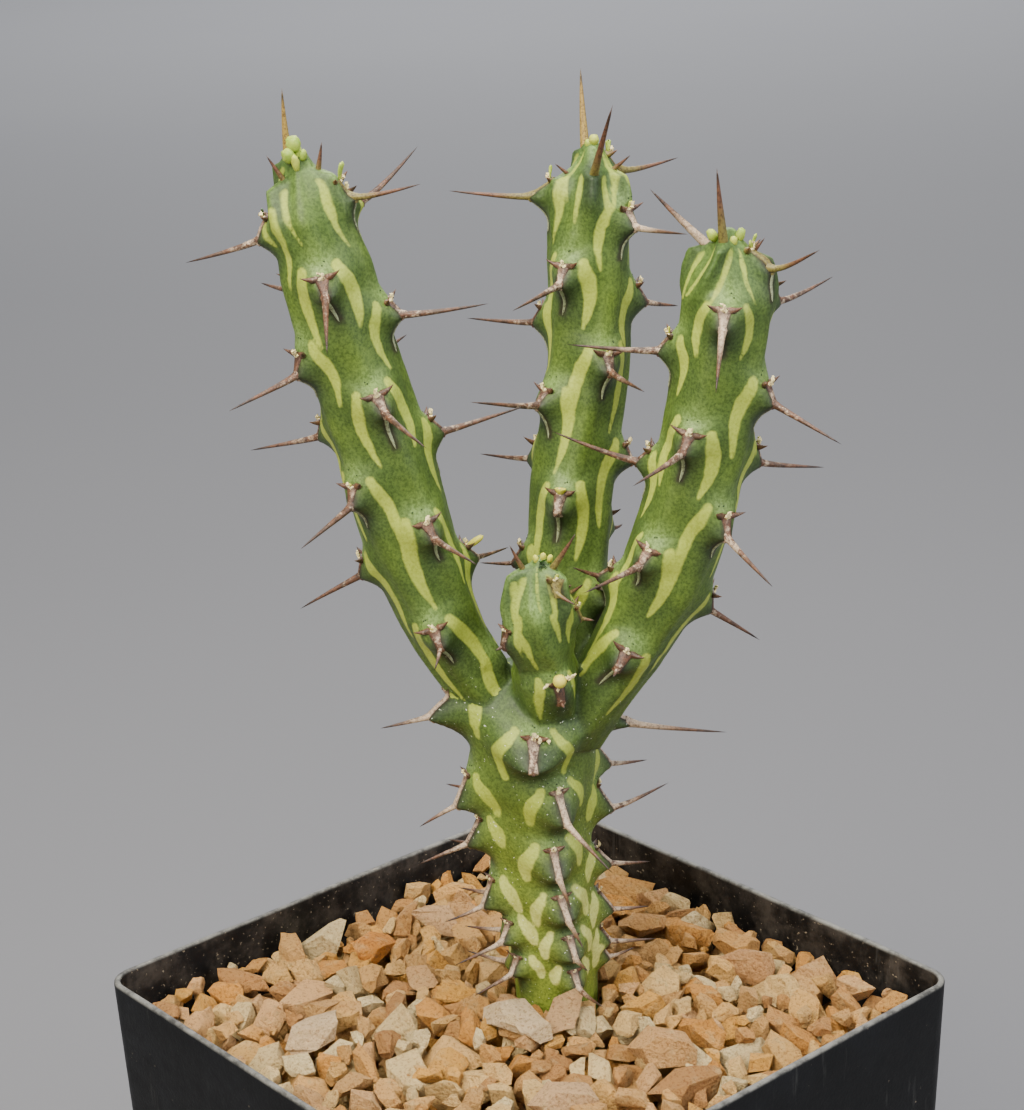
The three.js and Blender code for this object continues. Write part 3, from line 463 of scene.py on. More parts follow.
RIGHT = dict(
    line=[[7, 3, 33.5, 4.7], [9.7, 2.5, 38, 4.8], [14.5, 1.5, 45.6, 5.1], [19.6, 0, 56.1, 5.9],
          [24.1, -1.5, 71.2, 5.4], [26.4, -2.2, 84.4, 5.2], [27.1, -2.5, 90.6, 5.1], [27.2, -2.7, 94.8, 4.3],
          [27.1, -2.8, 98.3, 2.6]],
    orders=(3, 19), height=(0.73, 4.368, -0.0347, -0.00063), turn=(-133.1, -141.45, 0.0203),
    drop=2.35, stand=2.8, reach=10.2, shortest=9,
    own=[[4, -1.5, -31, -12, -20, 1.2], [5, 1.5, 18, -62, 10, 4], [6, -0.8, 0, 112, -17, 9],
         [7, 0.8, 6, -39, -9, 10], [9, 0, 0, 30, -5, 10], [10, 0.3, 0, -97, 7, 10.7],
         [11, 0, -8, 113, 0, 9], [12, -1, 0, -36, -10, 10], [14, -0.8, 12, 50, -11, 9.6],
         [15, 0, -4, -93, -2, 10.6], [16, 3.6, -10, 131, 13, 9.4], [17, 0, 3, -7, -27, 10],
         [18, 0, 0, 178, 10, 8], [19, 0.8, 0, 42, 30, 7.4]],
    crown=[[0.8, -20, 80, 8.8, 0.12, 0, -5], [1.4, -104, 46, 9, 1, 1, 0], [2.6, 80, 50, 2],
           [2.8, 150, 50, 2]], white=(17,),
    flare=0.6, bow=0.85, broad={}, dry=0.3)
SHOOT = dict(
    line=[[4.2, 0.6, 37, 3.2], [4.1, -1, 41, 3.8], [4, -1.8, 43.8, 4], [3.8, -2.2, 45.7, 3.5],
          [3.5, -3, 48.7, 4.1], [3.4, -3.8, 54.1, 4], [3.6, -4, 57.4, 3.1], [3.9, -4, 59.3, 1.8]],
    orders=(3, 11), height=(3, 1.85, -0.018, 0), turn=(-20, 137, 0),
    drop=2.1, stand=1.5, reach=3, shortest=2.2,
    own=[[3, -0.6, -11, 20, 0, 0.9], [5, 3.1, -6, -60, 0, 0.9], [6, 3.3, 6, 80, -6, 1.6],
         [7, 0, 0, -141, 0, 1.6], [8, 0, 0, 0, 0, 0, 0.15], [10, 0, 0, 0, 0, 0, 0.4],
         [11, 0.2, -10, 62, -16, 2.4]],
    crown=[[1.6, -68, 56, 3.6], [1, 55, 64, 5.4]], white=(), flare=0.7, bow=0.25, broad={}, dry=0.1)
STEMS = [TRUNK, LEFT, MIDDLE, RIGHT, SHOOT]
RIB_HEIGHT, RIBS, TWO_FIFTHS, TOOTH_STEP, COLUMNS = 0.45, 5, 144, 8, 20
# what a crown's spine has if its row doesn't say: age, dryness and wind. Then the rise from which a
# spine counts as upright, and the length below which it is a broken stub
CROWN_YOUNG, UPRIGHT, BROKEN = [0.12, 0, 0], 40, 1.5
SKIN_STEP, SKIN_COLUMNS, TIP_DOME, VOXEL, MEETING = 0.45, 72, 0.4, 0.41, 1.1


def seeded(seed):
    """The same repeatable draws that the solids use."""
    state = seed
    while True:
        state = (state * 1664525 + 1013904223) % 4294967296
        yield state / 4294967296


def tooth_height(stem, order):
    a, b, c, d = stem["height"]
    return a + b * order + c * order ** 2 + d * order ** 3


def rib_turn(stem, order):
    """The turn of the first rib at an order, in degrees. The ribs wind slowly round the stem."""
    a, b, c = stem["turn"]
    return a + (b - math.copysign(TWO_FIFTHS, b)) * order + c * order ** 2


def centre(stem, heights):
    """Place, direction and radius of a stem's centre line at many heights."""
    points, marks, slopes, radii = stem["curve"]
    s = np.clip(heights, 0, marks[-1] - 1e-6)
    i = np.clip(np.searchsorted(marks, s, side="right") - 1, 0, len(marks) - 2)
    span = marks[i + 1] - marks[i]
    t = ((s - marks[i]) / span)[:, None]
    w = span[:, None]
    place = ((2 * t ** 3 - 3 * t ** 2 + 1) * points[i] + (t ** 3 - 2 * t ** 2 + t) * w * slopes[i]
             + (3 * t ** 2 - 2 * t ** 3) * points[i + 1] + (t ** 3 - t ** 2) * w * slopes[i + 1])
    along = ((6 * t * t - 6 * t) / w * points[i] + (3 * t * t - 4 * t + 1) * slopes[i]
             + (6 * t - 6 * t * t) / w * points[i + 1] + (3 * t * t - 2 * t) * slopes[i + 1])
    along /= np.linalg.norm(along, axis=1, keepdims=True)
    place = place + along * (np.asarray(heights) - s)[:, None]
    lean = np.abs(along[:, 2]) / np.hypot(along[:, 0], along[:, 2])
    radius = (radii[i] + (radii[i + 1] - radii[i]) * t[:, 0]) * lean
    return place, along, radius


def around(along, turn):
    """Out of a stem at a turn from its front, and sideways from there."""
    front = np.array([0.0, -1.0, 0.0]) + along * along[:, 1:2]
    front /= np.linalg.norm(front, axis=1, keepdims=True)
    right = -np.cross(front, along)
    angle = np.radians(np.broadcast_to(turn, (len(along),)))[:, None]
    out = front * np.cos(angle) + right * np.sin(angle)
    return out, np.cross(along, out)


def prepare(stem, seed):
    """Works out a stem's curve and its list of teeth."""
    rows = np.array(stem["line"], float)
    points = rows[:, :3]
    marks = np.concatenate([[0], np.cumsum(np.linalg.norm(np.diff(points, axis=0), axis=1))])
    last = len(points) - 1
    slopes = np.array([(points[min(last, i + 1)] - points[max(0, i - 1)])
                       / (marks[min(last, i + 1)] - marks[max(0, i - 1)]) for i in range(last + 1)])
    stem["curve"] = (points, marks, slopes, rows[:, 3])
    stem["end"] = marks[-1]
    draws, shapes = seeded(seed), seeded(seed + 50)
    stem["teeth"] = []
    sign = 1 if stem["turn"][1] > 0 else -1
    for order in range(stem["orders"][0], stem["orders"][1] + 1):
        own = next((row for row in stem["own"] if row[0] == order), [order, 0, 0])
        column = (sign * TOOTH_STEP * order) % COLUMNS
        at = tooth_height(stem, order) + own[1]
        turn = rib_turn(stem, order) + column * 360 / COLUMNS + own[2]
        spacing = 5 * (tooth_height(stem, order + 1) - tooth_height(stem, order))
        size = min(1, max(0.55, spacing / 9))
        young = min(1, max(0.35, (stem["end"] - at) / 7 + 0.35))
        usual = stem["shortest"] + (stem["reach"] - stem["shortest"]) * size
        a, b, c = next(draws), next(draws), next(draws)
        rule = (turn + 16 * (a - 0.5), 14 * (b - 0.6), usual * (0.9 + 0.2 * c))
        bearing, rise, length = own[3:6] or rule
        share = own[6] if len(own) > 6 else 1
        stem["teeth"].append(dict(
            order=order, height=at, turn=turn, bearing=bearing, rise=rise, length=length, size=size,
            spacing=spacing, drop=stem["drop"] * size, stand=stem["stand"] * size * young * share, young=young,
            tongue=(3 + 1.8 * next(shapes)) * size, lean=(next(shapes) - 0.5) * 1.8,
            broad=stem["broad"].get(order, 1)))
    stem["crown"] = [row + CROWN_YOUNG[len(row) - 4:] for row in stem["crown"]]


def order_at(stem, heights):
    """The place in the order of teeth, with fractions, at many heights."""
    low, high = stem["orders"]
    orders = np.arange(low, high + 2)
    known = tooth_height(stem, orders.astype(float))
    i = np.clip(np.searchsorted(known, heights, side="right") - 1, 0, len(orders) - 2)
    return orders[i] + (heights - known[i]) / (known[i + 1] - known[i])


def short_way(turns):
    """Turns in degrees as the shortest way round, in radians."""
    return np.radians((turns + 180) % 360 - 180)


def crown_ridges(stem):
    """The ridges under the crown's upright spines: foot, turn, how much they wind, and length of spine."""
    teeth = [t for t in stem["teeth"] if t["rise"] >= UPRIGHT]
    return ([(t["height"] - t["drop"], t["turn"], 0, t["length"]) for t in teeth]
            + [(stem["end"] - down, bearing, wind, length)
               for down, bearing, _, length, _, _, wind in stem["crown"]])


def relief(stem, radius, heights, turns):
    """How far the skin stands out, and where it is a tooth: soft ribs, teeth with a broad shoulder and
    a keel with a hollow underside, and long narrow ridges that run down from the crown's spines."""
    rib = np.cos(np.radians(RIBS * (turns - rib_turn(stem, order_at(stem, heights)))))
    out = RIB_HEIGHT * np.minimum(1, radius / 4) * rib
    tooth_like = np.zeros(len(out))
    # foot, turn, how far it stands out, how far it reaches up and down, width, hollow, broad, wind
    shapes = [(t["height"] - t["drop"], t["turn"], t["stand"], t["drop"] + 2.8 * t["size"], 5 * t["size"],
               1.1, 3.0, t["broad"], 0) for t in stem["teeth"]]
    ridges = [(foot, turn, 2.1 + 0.1 * length, 1.2, 8.0, 0.8, 1.1, 1, wind)
              for foot, turn, wind, length in crown_ridges(stem)]
    for foot, turn, stand, top, low, width, hollow, broad, wind in shapes + ridges:
        up = heights - foot
        apart = short_way(turns - turn + wind * np.minimum(0, up)) * radius
        wide = (width + 0.5 * np.maximum(0, up)) * broad
        profile = np.where(up > 0, np.clip(1 - up / top, 0, 1) ** 1.25, np.clip(1 + up / low, 0, 1) ** hollow)
        fin = 0.7 * np.exp(-(apart / wide) ** 2) + 0.3 * np.exp(-(apart / (2.1 * wide)) ** 2)
        out = np.maximum(out, stand * profile * fin + out * (1 - fin) * (profile > 0))
        tooth_like = np.maximum(tooth_like, profile ** 0.5 * fin)
    # the crown is drawn in towards its end
    out -= 0.58 * radius * np.clip((heights - stem["end"] + 6.5) / 6.5, 0, 1) ** 1.5
    return out, tooth_like


def stem_skin(stem):
    """A closed fine skin of one stem, as vertices and faces."""
    end, step, columns = stem["end"], SKIN_STEP, SKIN_COLUMNS
    heights = np.linspace(0, end, int(end / step) + 1)
    turns = np.arange(columns) * 360 / columns
    h, t = [a.ravel() for a in np.meshgrid(heights, turns, indexing="ij")]
    place, along, radius = centre(stem, h)
    skin = place + around(along, t)[0] * (radius + relief(stem, radius, h, t)[0])[:, None]
    tip, along, radius = [a[0] for a in centre(stem, np.array([end]))]
    rings = len(heights)
    vertices = [skin]
    last = skin[-columns:] - tip
    for share in (0.35, 0.68, 0.9):
        angle = share * math.pi / 2
        vertices.append(tip + last * math.cos(angle) + along * radius * TIP_DOME * math.sin(angle))
        rings += 1
    vertices += [centre(stem, np.array([0.0]))[0], (tip + along * radius * TIP_DOME)[None]]
    vertices = np.vstack(vertices)
    low, high = len(vertices) - 2, len(vertices) - 1
    faces = []
    for j in range(columns):
        k = (j + 1) % columns
        faces.append((low, k, j))
        faces.append((high, (rings - 1) * columns + j, (rings - 1) * columns + k))
        for i in range(rings - 1):
            a = i * columns
            faces.append((a + j, a + k, a + columns + k, a + columns + j))
    return vertices, faces


def to_metres(points):
    """Points of the plant's frame in mm, as points of the pot's frame in metres."""
    return into_pot_frame(points) * MM


def to_plant(points):
    """Points of the pot's frame in metres, as points of the plant's frame in mm."""
    c, s = math.cos(PLANT_TURN), math.sin(PLANT_TURN)
    x, y, z = (np.asarray(points, float) / MM).T
    return np.stack([c * x + s * y, -s * x + c * y, z - POT_HEIGHT], 1)


parts = []
for number, stem in enumerate(STEMS):
    prepare(stem, 11 + number)
    vertices, faces = stem_skin(stem)
    parts.append(new_piece("stem", to_metres(vertices), faces))
only(parts[0])
for part in parts:
    part.select_set(True)
bpy.ops.object.join()
stems = bpy.context.object
only(stems)
stems.data.remesh_voxel_size = VOXEL * MM
bpy.ops.object.voxel_remesh()


def vertex_array(piece):
    """The piece's vertices as rows of x, y and z."""
    flat = np.zeros(len(piece.data.vertices) * 3, np.float32)
    piece.data.vertices.foreach_get("co", flat)
    return flat.reshape(-1, 3).astype(float)


def on_stems(points):
    """For points near the skin: each stem's height, turn and distance outside its bare radius."""
    found = []
    for stem in STEMS:
        heights = np.arange(0, stem["end"] + 2.5, 0.3)
        place, along, radius = centre(stem, heights)
        nearest = np.zeros(len(points), int)
        for start in range(0, len(points), 20000):
            block = points[start:start + 20000]
            away = ((block[:, None, :] - place[None]) ** 2).sum(2)
            nearest[start:start + 20000] = away.argmin(1)
        offset = points - place[nearest]
        h = heights[nearest] + (offset * along[nearest]).sum(1)
        middle, way, r = centre(stem, h)
        offset = points - middle
        offset -= way * (offset * way).sum(1)[:, None]
        front, right = around(way, 0.0)
        turn = np.degrees(np.arctan2((offset * right).sum(1), (offset * front).sum(1)))
        beyond = np.maximum(0, h - stem["end"]) + np.maximum(0, -h) * 3
        found.append((h, turn, np.linalg.norm(offset, axis=1) - r + beyond, r))
    return found


# where two stems meet, the skin flows from one into the other, but their teeth keep their shape
skin_points = to_plant(vertex_array(stems))
shapes = [(f, *relief(s, f[3], f[0], f[1])) for s, f in zip(STEMS, on_stems(skin_points))]
outside = np.stack([f[2] - out for f, out, _ in shapes])
ordered = np.sort(outside, axis=0)
toothed = np.choose(outside.argmin(0), [t for _, _, t in shapes])
meeting = np.exp(-((ordered[1] - ordered[0]) / MEETING) ** 2) * np.clip(1.25 - 1.6 * toothed, 0, 1)
fork = stems.vertex_groups.new(name="fork")
for index in np.nonzero(meeting > 0.02)[0]:
    fork.add([int(index)], float(meeting[index]), "REPLACE")
flow = stems.modifiers.new("flow", "SMOOTH")
flow.factor, flow.iterations, flow.vertex_group = 0.5, 6, "fork"
even = stems.modifiers.new("even", "SMOOTH")
even.factor, even.iterations = 0.3, 1
apply_all(stems)
bpy.ops.object.shade_smooth()
print("stem skin faces:", len(stems.data.polygons))


def fade(past, soft):
    """1 up to a border, and softly down to 0 past it."""
    return np.exp(-(np.maximum(0, past) / soft) ** 2)


# marks on the skin that its material reads: stripe, in mm from the stripe's border inwards, and the rest from 0
# to 1. A tooth has pale shoulders from a painted highlight, painted shade on the flank below it and a dark rim
# round its horn
STRIPE_CLEAR, NO_STRIPE = 2.2, -5.0
HORN_SOFT, RIDGE_SOFT, RIDGE_START, RIDGE_LONG = 0.316, 2.236, 0.5, 5.5
skin_points = to_plant(vertex_array(stems))
found = on_stems(skin_points)
owner = np.stack([f[2] - relief(s, f[3], f[0], f[1])[0] for s, f in zip(STEMS, found)]).argmin(0)
marks = {name: np.full(len(skin_points), NO_STRIPE if name == "stripe" else 0.0)
         for name in ("stripe", "shoulder", "flank_shade", "rim", "valley_shade", "youth")}
stripe_draws = np.random.default_rng(5)
for number, (stem, (h, turn, _, r)) in enumerate(zip(STEMS, found)):
    mine = owner == number
    h, turn, r = h[mine], turn[mine], r[mine]
    thick, to_end = stem is TRUNK, stem["end"] - h
    lane = rib_turn(stem, order_at(stem, h))
    reach = r + np.maximum(0, relief(stem, r, h, turn)[0])
    field, light, dark, rim = np.full(len(h), NO_STRIPE), *np.zeros((3, len(h)))
    for tooth in stem["teeth"]:
        up, drop, broad = h - tooth["height"], tooth["drop"], tooth["broad"]
        from_line = short_way(turn - tooth["turn"])
        wound = np.radians(lane - rib_turn(stem, order_at(stem, np.array([tooth["height"]])))[0])
        across = (from_line - 0.45 * wound) * (r + 0.3)
        # a stripe on either side, from a blunt head beside the shield down to a thin end. Its four draws
        # are for its length, its width, its start and its place aside
        for way in (-1, 1):
            a, b, c, d = stripe_draws.random(4)
            length = min(10.8, (0.5 if thick else 0.57) * tooth["spacing"]) * (0.84 + 0.3 * a)
            length *= broad ** 0.6
            wide = min(1.2, 0.6 + 0.1 * length) if thick else min(0.92, 0.3 + 0.125 * length)
            wide *= (0.85 + 0.3 * b) * (0.75 if stem is SHOOT else 1) / broad ** 0.3
            wide *= 0.42 + 0.58 * min(1, max(0, stem["end"] - tooth["height"]) / 8) ** 1.5
            s = (0.7 + 0.9 * (c - 0.5) - up) / length
            past = np.maximum(0, np.abs(s - 0.5) - 0.5) * length
            s = np.clip(s, 0, 1)
            middle = (STRIPE_CLEAR + 0.4 * (d - 0.5) + stem["flare"] * s * min(1, length / 4.6) ** 1.5
                      + (stem["bow"] + 0.6 * broad - 0.6) * np.sin(np.pi * s) * min(1, length / 6))
            half = wide * np.minimum(1, 0.6 + 1.6 * s) * (1 - (0.45 if thick else 0.78) * s ** 2.6)
            field = np.maximum(field, half - np.hypot(np.abs(way * across - middle), past))
        # painted highlight: the shoulder above each tooth's head is made paler, as if lit from above
        light = np.maximum(light, np.exp(-((up - 1.4) / 2.0) ** 2 - (across / 1.9) ** 2))
        # painted shade under each tooth's head, deeper under teeth that stand out further
        below = np.clip((-up - 0.2) / 1.2, 0, 1) * fade(-up - drop - 1.5, 3)
        dark = np.maximum(dark, below * np.exp(-(across / (1.7 * broad)) ** 2) * min(1, tooth["stand"]))
        if tooth["length"] > 0 and tooth["rise"] < UPRIGHT:
            on_shield = fade(np.abs(up + drop / 2) - drop / 2, HORN_SOFT)
            rim = np.maximum(rim, on_shield * fade(np.abs(from_line * reach) - 0.5, 0.32))
            if not thick and stem is not SHOOT:
                tongue = tooth["tongue"]
                fall = np.clip((-up - drop) / tongue, 0, 1)
                on_tongue = fade(np.abs(up + drop + tongue / 2) - tongue / 2, HORN_SOFT)
                side = np.abs(from_line * reach - tooth["lean"] * fall ** 1.3)
                rim = np.maximum(rim, on_tongue * fade(side - 0.3, 0.28))
    # a pair of thin stripes beside the ridge under each of the crown's spines, and painted shade in the hollows
    # beside it
    for foot, bearing, wind, length in crown_ridges(stem):
        up = h - foot
        across = short_way(turn - bearing + wind * np.minimum(0, up)) * (r + 0.3)
        s = (-RIDGE_START - up) / RIDGE_LONG
        past = np.maximum(0, np.abs(s - 0.5) - 0.5) * RIDGE_LONG
        s = np.clip(s, 0, 1)
        if length > 3.1:
            thin = 0.45 * (1 - 0.6 * s ** 2) - np.hypot(np.abs(across) - 1.45 - 0.6 * s, past)
            field = np.maximum(field, thin)
        beside = np.exp(-((np.abs(across) - 0.8) / 0.5) ** 2) * fade(-up - 2, RIDGE_SOFT) * (up < 1)
        dark = np.maximum(dark, 0.6 * beside)
    # the valley mark is painted shade, strongest midway between two ribs
    rib = np.cos(np.radians(RIBS * (turn - lane)))
    for name, values in (("stripe", field), ("shoulder", light), ("flank_shade", dark), ("rim", rim),
                         ("valley_shade", 0.5 - 0.5 * rib), ("youth", np.exp(-np.maximum(0, to_end) / 6))):
        marks[name][mine] = values
# the height above the rim, and where stems meet, which the material darkens as painted shade in the crease
marks["rise"] = skin_points[:, 2]
marks["fork_mark"] = np.where(meeting > 0.02, meeting, 0)
for name, values in marks.items():
    write_mark(stems, name, values)

# Living stem skin: waxy, satin and a little translucent. It is yellow-green in the hollows between the ribs,
# darkened by painted shade in the valleys, greyer and paler on the teeth's shoulders as a painted highlight,
# dark below them as painted shade, and finely speckled.
GREEN_LANE, GREEN_YELLOW, GREEN_FLANK_SHADE, GREEN_SHOULDER_HIGHLIGHT = "#4a6029", "#667e2c", "#2f3f29", "#86a35a"
GREEN_VALLEY_SHADE, GREEN_BASE, GREEN_TIP, SPECKLE = "#3a5220", "#8a9a36", "#4b682a", "#a3ad90"
PALE, PALE_LOW, PALE_SPECKLE, FLECK, RIM = "#a6b446", "#c6cb74", "#d3d6b4", "#dfe6cf", "#2b2418"
stem_skin_wax, tree, where = new_material("waxy_stem_skin")
mark = {name: add(tree, "Attribute", {}, "Fac", attribute_name=name) for name in marks}
# noises, each with its size in mm, detail and roughness. The fine speckle is drawn at 0.36 mm, coarser
# than it is, so that it shows
cloud, fine, torn, flecks, swell, waxy = [
    add(tree, "TexNoise", {"Vector": where, "Scale": 1 / (size * MM), "Detail": detail, "Roughness": rough})
    for size, detail, rough in ((5, 5, 0.6), (0.36, 3, 0.6), (1.7, 3, 0.5), (0.42, 2, 0.5), (1.6, 4, 0.6),
                                (1.2, 4, 0.65))]
cloud = add(tree, "MapRange", {"Value": cloud, "From Min": 0.22, "From Max": 0.78}, **SMOOTH)
body = add(tree, "Mix", {0: cloud, 6: GREEN_LANE, 7: GREEN_YELLOW}, 2, **COLOURS)
base = add(tree, "MapRange", {"Value": mark["rise"], "From Min": 44.0, "From Max": -6.0}, **SMOOTH)
# over the lanes: painted shade in the valleys, the darker young tip, the paler base, a painted highlight on the
# teeth's shoulders, painted shade below the teeth and beside the crown's ridges, and painted shade in the forks
# where stems meet
for field, most, tint in ((mark["valley_shade"], 0.5, GREEN_VALLEY_SHADE), (mark["youth"], 0.8, GREEN_TIP),
                          (base, 0.75, GREEN_BASE), (mark["shoulder"], 0.62, GREEN_SHOULDER_HIGHLIGHT),
                          (mark["flank_shade"], 0.88, GREEN_FLANK_SHADE), (mark["fork_mark"], 0.6, GREEN_FLANK_SHADE)):
    amount = add(tree, "Math", {0: field, 1: most}, operation="MULTIPLY")
    body = add(tree, "Mix", {0: amount, 6: body, 7: tint}, 2, **COLOURS)
speckle = add(tree, "MapRange", {"Value": fine, "From Min": 0.62, "From Max": 0.36, "To Max": 0.8})
body = add(tree, "Mix", {0: speckle, 6: body, 7: SPECKLE}, 2, blend_type="MULTIPLY", **COLOURS)
torn = add(tree, "Math", {0: torn, 1: 0.5, 2: -0.25}, operation="MULTIPLY_ADD")
torn = add(tree, "Math", {0: torn, 1: mark["stripe"]}, operation="ADD")
torn = add(tree, "MapRange", {"Value": torn, "From Min": -0.16, "From Max": 0.2}, **SMOOTH)
low = add(tree, "MapRange", {"Value": mark["rise"], "From Min": 26.0, "From Max": 4.0}, **SMOOTH)
pale = add(tree, "Mix", {0: low, 6: PALE, 7: PALE_LOW}, 2, **COLOURS)
amount = add(tree, "Math", {0: mark["youth"], 1: 0.4}, operation="MULTIPLY")
pale = add(tree, "Mix", {0: amount, 6: pale, 7: GREEN_TIP}, 2, **COLOURS)
speckle = add(tree, "MapRange", {"Value": fine, "From Min": 0.6, "From Max": 0.34, "To Max": 0.7})
pale = add(tree, "Mix", {0: speckle, 6: pale, 7: PALE_SPECKLE}, 2, blend_type="MULTIPLY", **COLOURS)
body = add(tree, "Mix", {0: torn, 6: body, 7: pale}, 2, **COLOURS)
amount = add(tree, "Math", {0: mark["rim"], 1: 0.85}, operation="MULTIPLY")
body = add(tree, "Mix", {0: amount, 6: body, 7: RIM}, 2, **COLOURS)
flecks = add(tree, "MapRange", {"Value": flecks, "From Min": 0.7, "From Max": 0.74}, **SMOOTH)
old = add(tree, "MapRange", {"Value": mark["rise"], "From Min": 52.0, "From Max": 34.0,
                             "To Max": 0.8}, **SMOOTH)
flecks = add(tree, "Math", {0: flecks, 1: old}, operation="MULTIPLY")
body = add(tree, "Mix", {0: flecks, 6: body, 7: FLECK}, 2, **COLOURS)
swell = add(tree, "Math", {0: fine, 1: 0.5, 2: swell}, operation="MULTIPLY_ADD")
swell = add(tree, "Bump", {"Strength": 0.25, "Distance": 0.00028, "Height": swell})
waxy = add(tree, "MapRange", {"Value": waxy, "To Min": 0.46, "To Max": 0.66})
shader = add(tree, "BsdfPrincipled", {
    "Base Color": body, "Roughness": waxy, "IOR": 1.45, "Normal": swell, "Subsurface Weight": 0.08,
    "Subsurface Radius": (0.0012, 0.0018, 0.0005), "Subsurface Scale": 1.0, "Specular IOR Level": 0.38,
    "Coat Weight": 0.04, "Coat Roughness": 0.35})
add(tree, "OutputMaterial", {"Surface": shader})
settle(stems, "stem_skin", "euphorbia", stem_skin_wax)

# ---------------------------------------------------------------------------------------------
# Horn. On each tooth one dry, horny piece has grown: a shield with two prickles at its top, a
# long spine from the tooth's tip, and a narrow tongue below it. It is brown, weathered to grey.
# half widths of the shield's head and waist and of the tongue, the radius of spines and prickles where
# they start, and how far a prickle reaches, in mm
HEAD, TRUNK_HEAD, STUB_HEAD, WAIST, TRUNK_WAIST, TONGUE = 1.5, 1.15, 1.6, 0.5, 0.56, 0.36
SPINE_RADIUS, PRICKLE_RADIUS, PRICKLE, SMALL_PRICKLE = 0.29, 0.5, 2.25, 1.55
skin_tree = BVHTree.FromPolygons([Vector(p) for p in skin_points], [p.vertices[:] for p in stems.data.polygons])
horn_draws = np.random.default_rng(33)


def onto_skin(points, outs, lift):
    """Moves points along their outs onto the skin, and up by lift from it."""
    moved = []
    for point, out, up in zip(points, outs, np.broadcast_to(lift, (len(points),))):
        hit, normal, _, _ = skin_tree.ray_cast(Vector(point + out * 3.0), Vector(-out), 6.5)
        if hit is None:
            hit, normal = Vector(point), Vector(out)
        moved.append(np.array(hit) + np.array(normal) * up)
    return np.array(moved)


def grow(shells, points, faces, **values):
    """Adds one closed shell to a group of shells, with a value for each of its marks."""
    start = sum(len(p) for p in shells["points"])
    shells["points"].append(points)
    shells["faces"] += [tuple(start + i for i in face) for face in faces]
    for name, value in values.items():
        shells["marks"].setdefault(name, []).append(np.broadcast_to(value, (len(points),)).astype(float))


def finish_shells(shells, name, material, smooth=60):
    """Makes one piece of a group of shells."""
    piece = new_piece(name, to_metres(np.vstack(shells["points"])), shells["faces"])
    for mark_name, values in shells["marks"].items():
        write_mark(piece, mark_name, np.concatenate(values))
    only(piece)
    bpy.ops.object.mode_set(mode="EDIT")
    bpy.ops.mesh.select_all(action="SELECT")
    bpy.ops.mesh.normals_make_consistent(inside=False)
    bpy.ops.object.mode_set(mode="OBJECT")
    bpy.ops.object.shade_smooth_by_angle(angle=math.radians(smooth))
    print(name, "faces:", len(piece.data.polygons))
    settle(piece, name, "euphorbia", material)


def on_line(stem, height, turn):
    """One place on a stem's centre line: the place, its direction and radius, and at a turn the ways
    out and aside."""
    (place,), (along,), (radius,) = centre(stem, np.array([height]))
    (out,), (side,) = around(along[None], turn)
    return place, along, radius, out, side


def spike(path, radii, sides=9, flat=1.0, face=None):
    """A closed round or flattened shell along a path, closed to a point at both ends."""
    path = np.asarray(path, float)
    ways = np.gradient(path, axis=0)
    ways /= np.linalg.norm(ways, axis=1, keepdims=True)
    side = np.cross(ways[0], face if face is not None else [0.13, 0.2, 0.97])
    points = []
    for middle, way, radius in zip(path[:-1], ways, radii):
        side = side - way * np.dot(side, way)
        side /= np.linalg.norm(side)
        other = np.cross(way, side)
        for n in range(sides):
            angle = 2 * math.pi * n / sides
            points.append(middle + radius * (math.cos(angle) * side + flat * math.sin(angle) * other))
    rings = len(path) - 1
    points += [path[0], path[-1]]
    low, high = rings * sides, rings * sides + 1
    faces = []
    for n in range(sides):
        m = (n + 1) % sides
        faces += [(low, m, n), (high, (rings - 1) * sides + n, (rings - 1) * sides + m)]
        faces += [(i + n, i + m, i + sides + m, i + sides + n) for i in range(0, (rings - 1) * sides, sides)]
    along = np.concatenate([np.repeat(np.linspace(0, 1, rings), sides), [0, 1]])
    return np.array(points), faces, along


def strip(stem, tooth, ups, halves, drift, lift, steps=6):
    """A domed strip that lies on the skin along a tooth, closed underneath, and how near its sides are."""
    place, along, radius = centre(stem, tooth["height"] + np.asarray(ups, float))
    shares = np.linspace(-1, 1, steps + 1)
    top, low = [], []
    for row in range(len(ups)):
        wide = halves[row] * shares + drift[row]
        turn = tooth["turn"] + np.degrees(wide / (radius[row] + tooth["stand"] * 0.7))
        out, _ = around(np.repeat(along[row:row + 1], len(turn), 0), turn)
        reach = radius[row] + relief(stem, np.full(len(turn), radius[row]),
                                     np.full(len(turn), tooth["height"] + ups[row]), turn)[0]
        base = place[row] + out * reach[:, None]
        dome = lift[row] * (1 - shares ** 2) ** 0.5 - 0.1 * np.abs(shares) ** 3
        top.append(onto_skin(base, out, dome))
        low.append(onto_skin(base, out, np.full(len(turn), -0.3)))
    n, rows = steps + 1, len(ups)
    count = rows * n
    points = np.vstack([np.array(top).reshape(-1, 3), np.array(low).reshape(-1, 3)])
    loop = ([(i, 0) for i in range(rows)] + [(rows - 1, j) for j in range(1, n)]
            + [(i, n - 1) for i in range(rows - 2, -1, -1)] + [(0, j) for j in range(n - 2, 0, -1)])
    edge = [i * n + j for i, j in loop]
    faces = []
    for i in range(rows - 1):
        for j in range(steps):
            a, b, c, d = i * n + j, i * n + j + 1, (i + 1) * n + j + 1, (i + 1) * n + j
            faces += [(a, d, c, b), (count + a, count + b, count + c, count + d)]
    faces += [(a, count + a, count + b, b) for a, b in zip(edge, edge[1:] + edge[:1])]
    return points, faces, np.tile(np.abs(shares), 2 * rows)


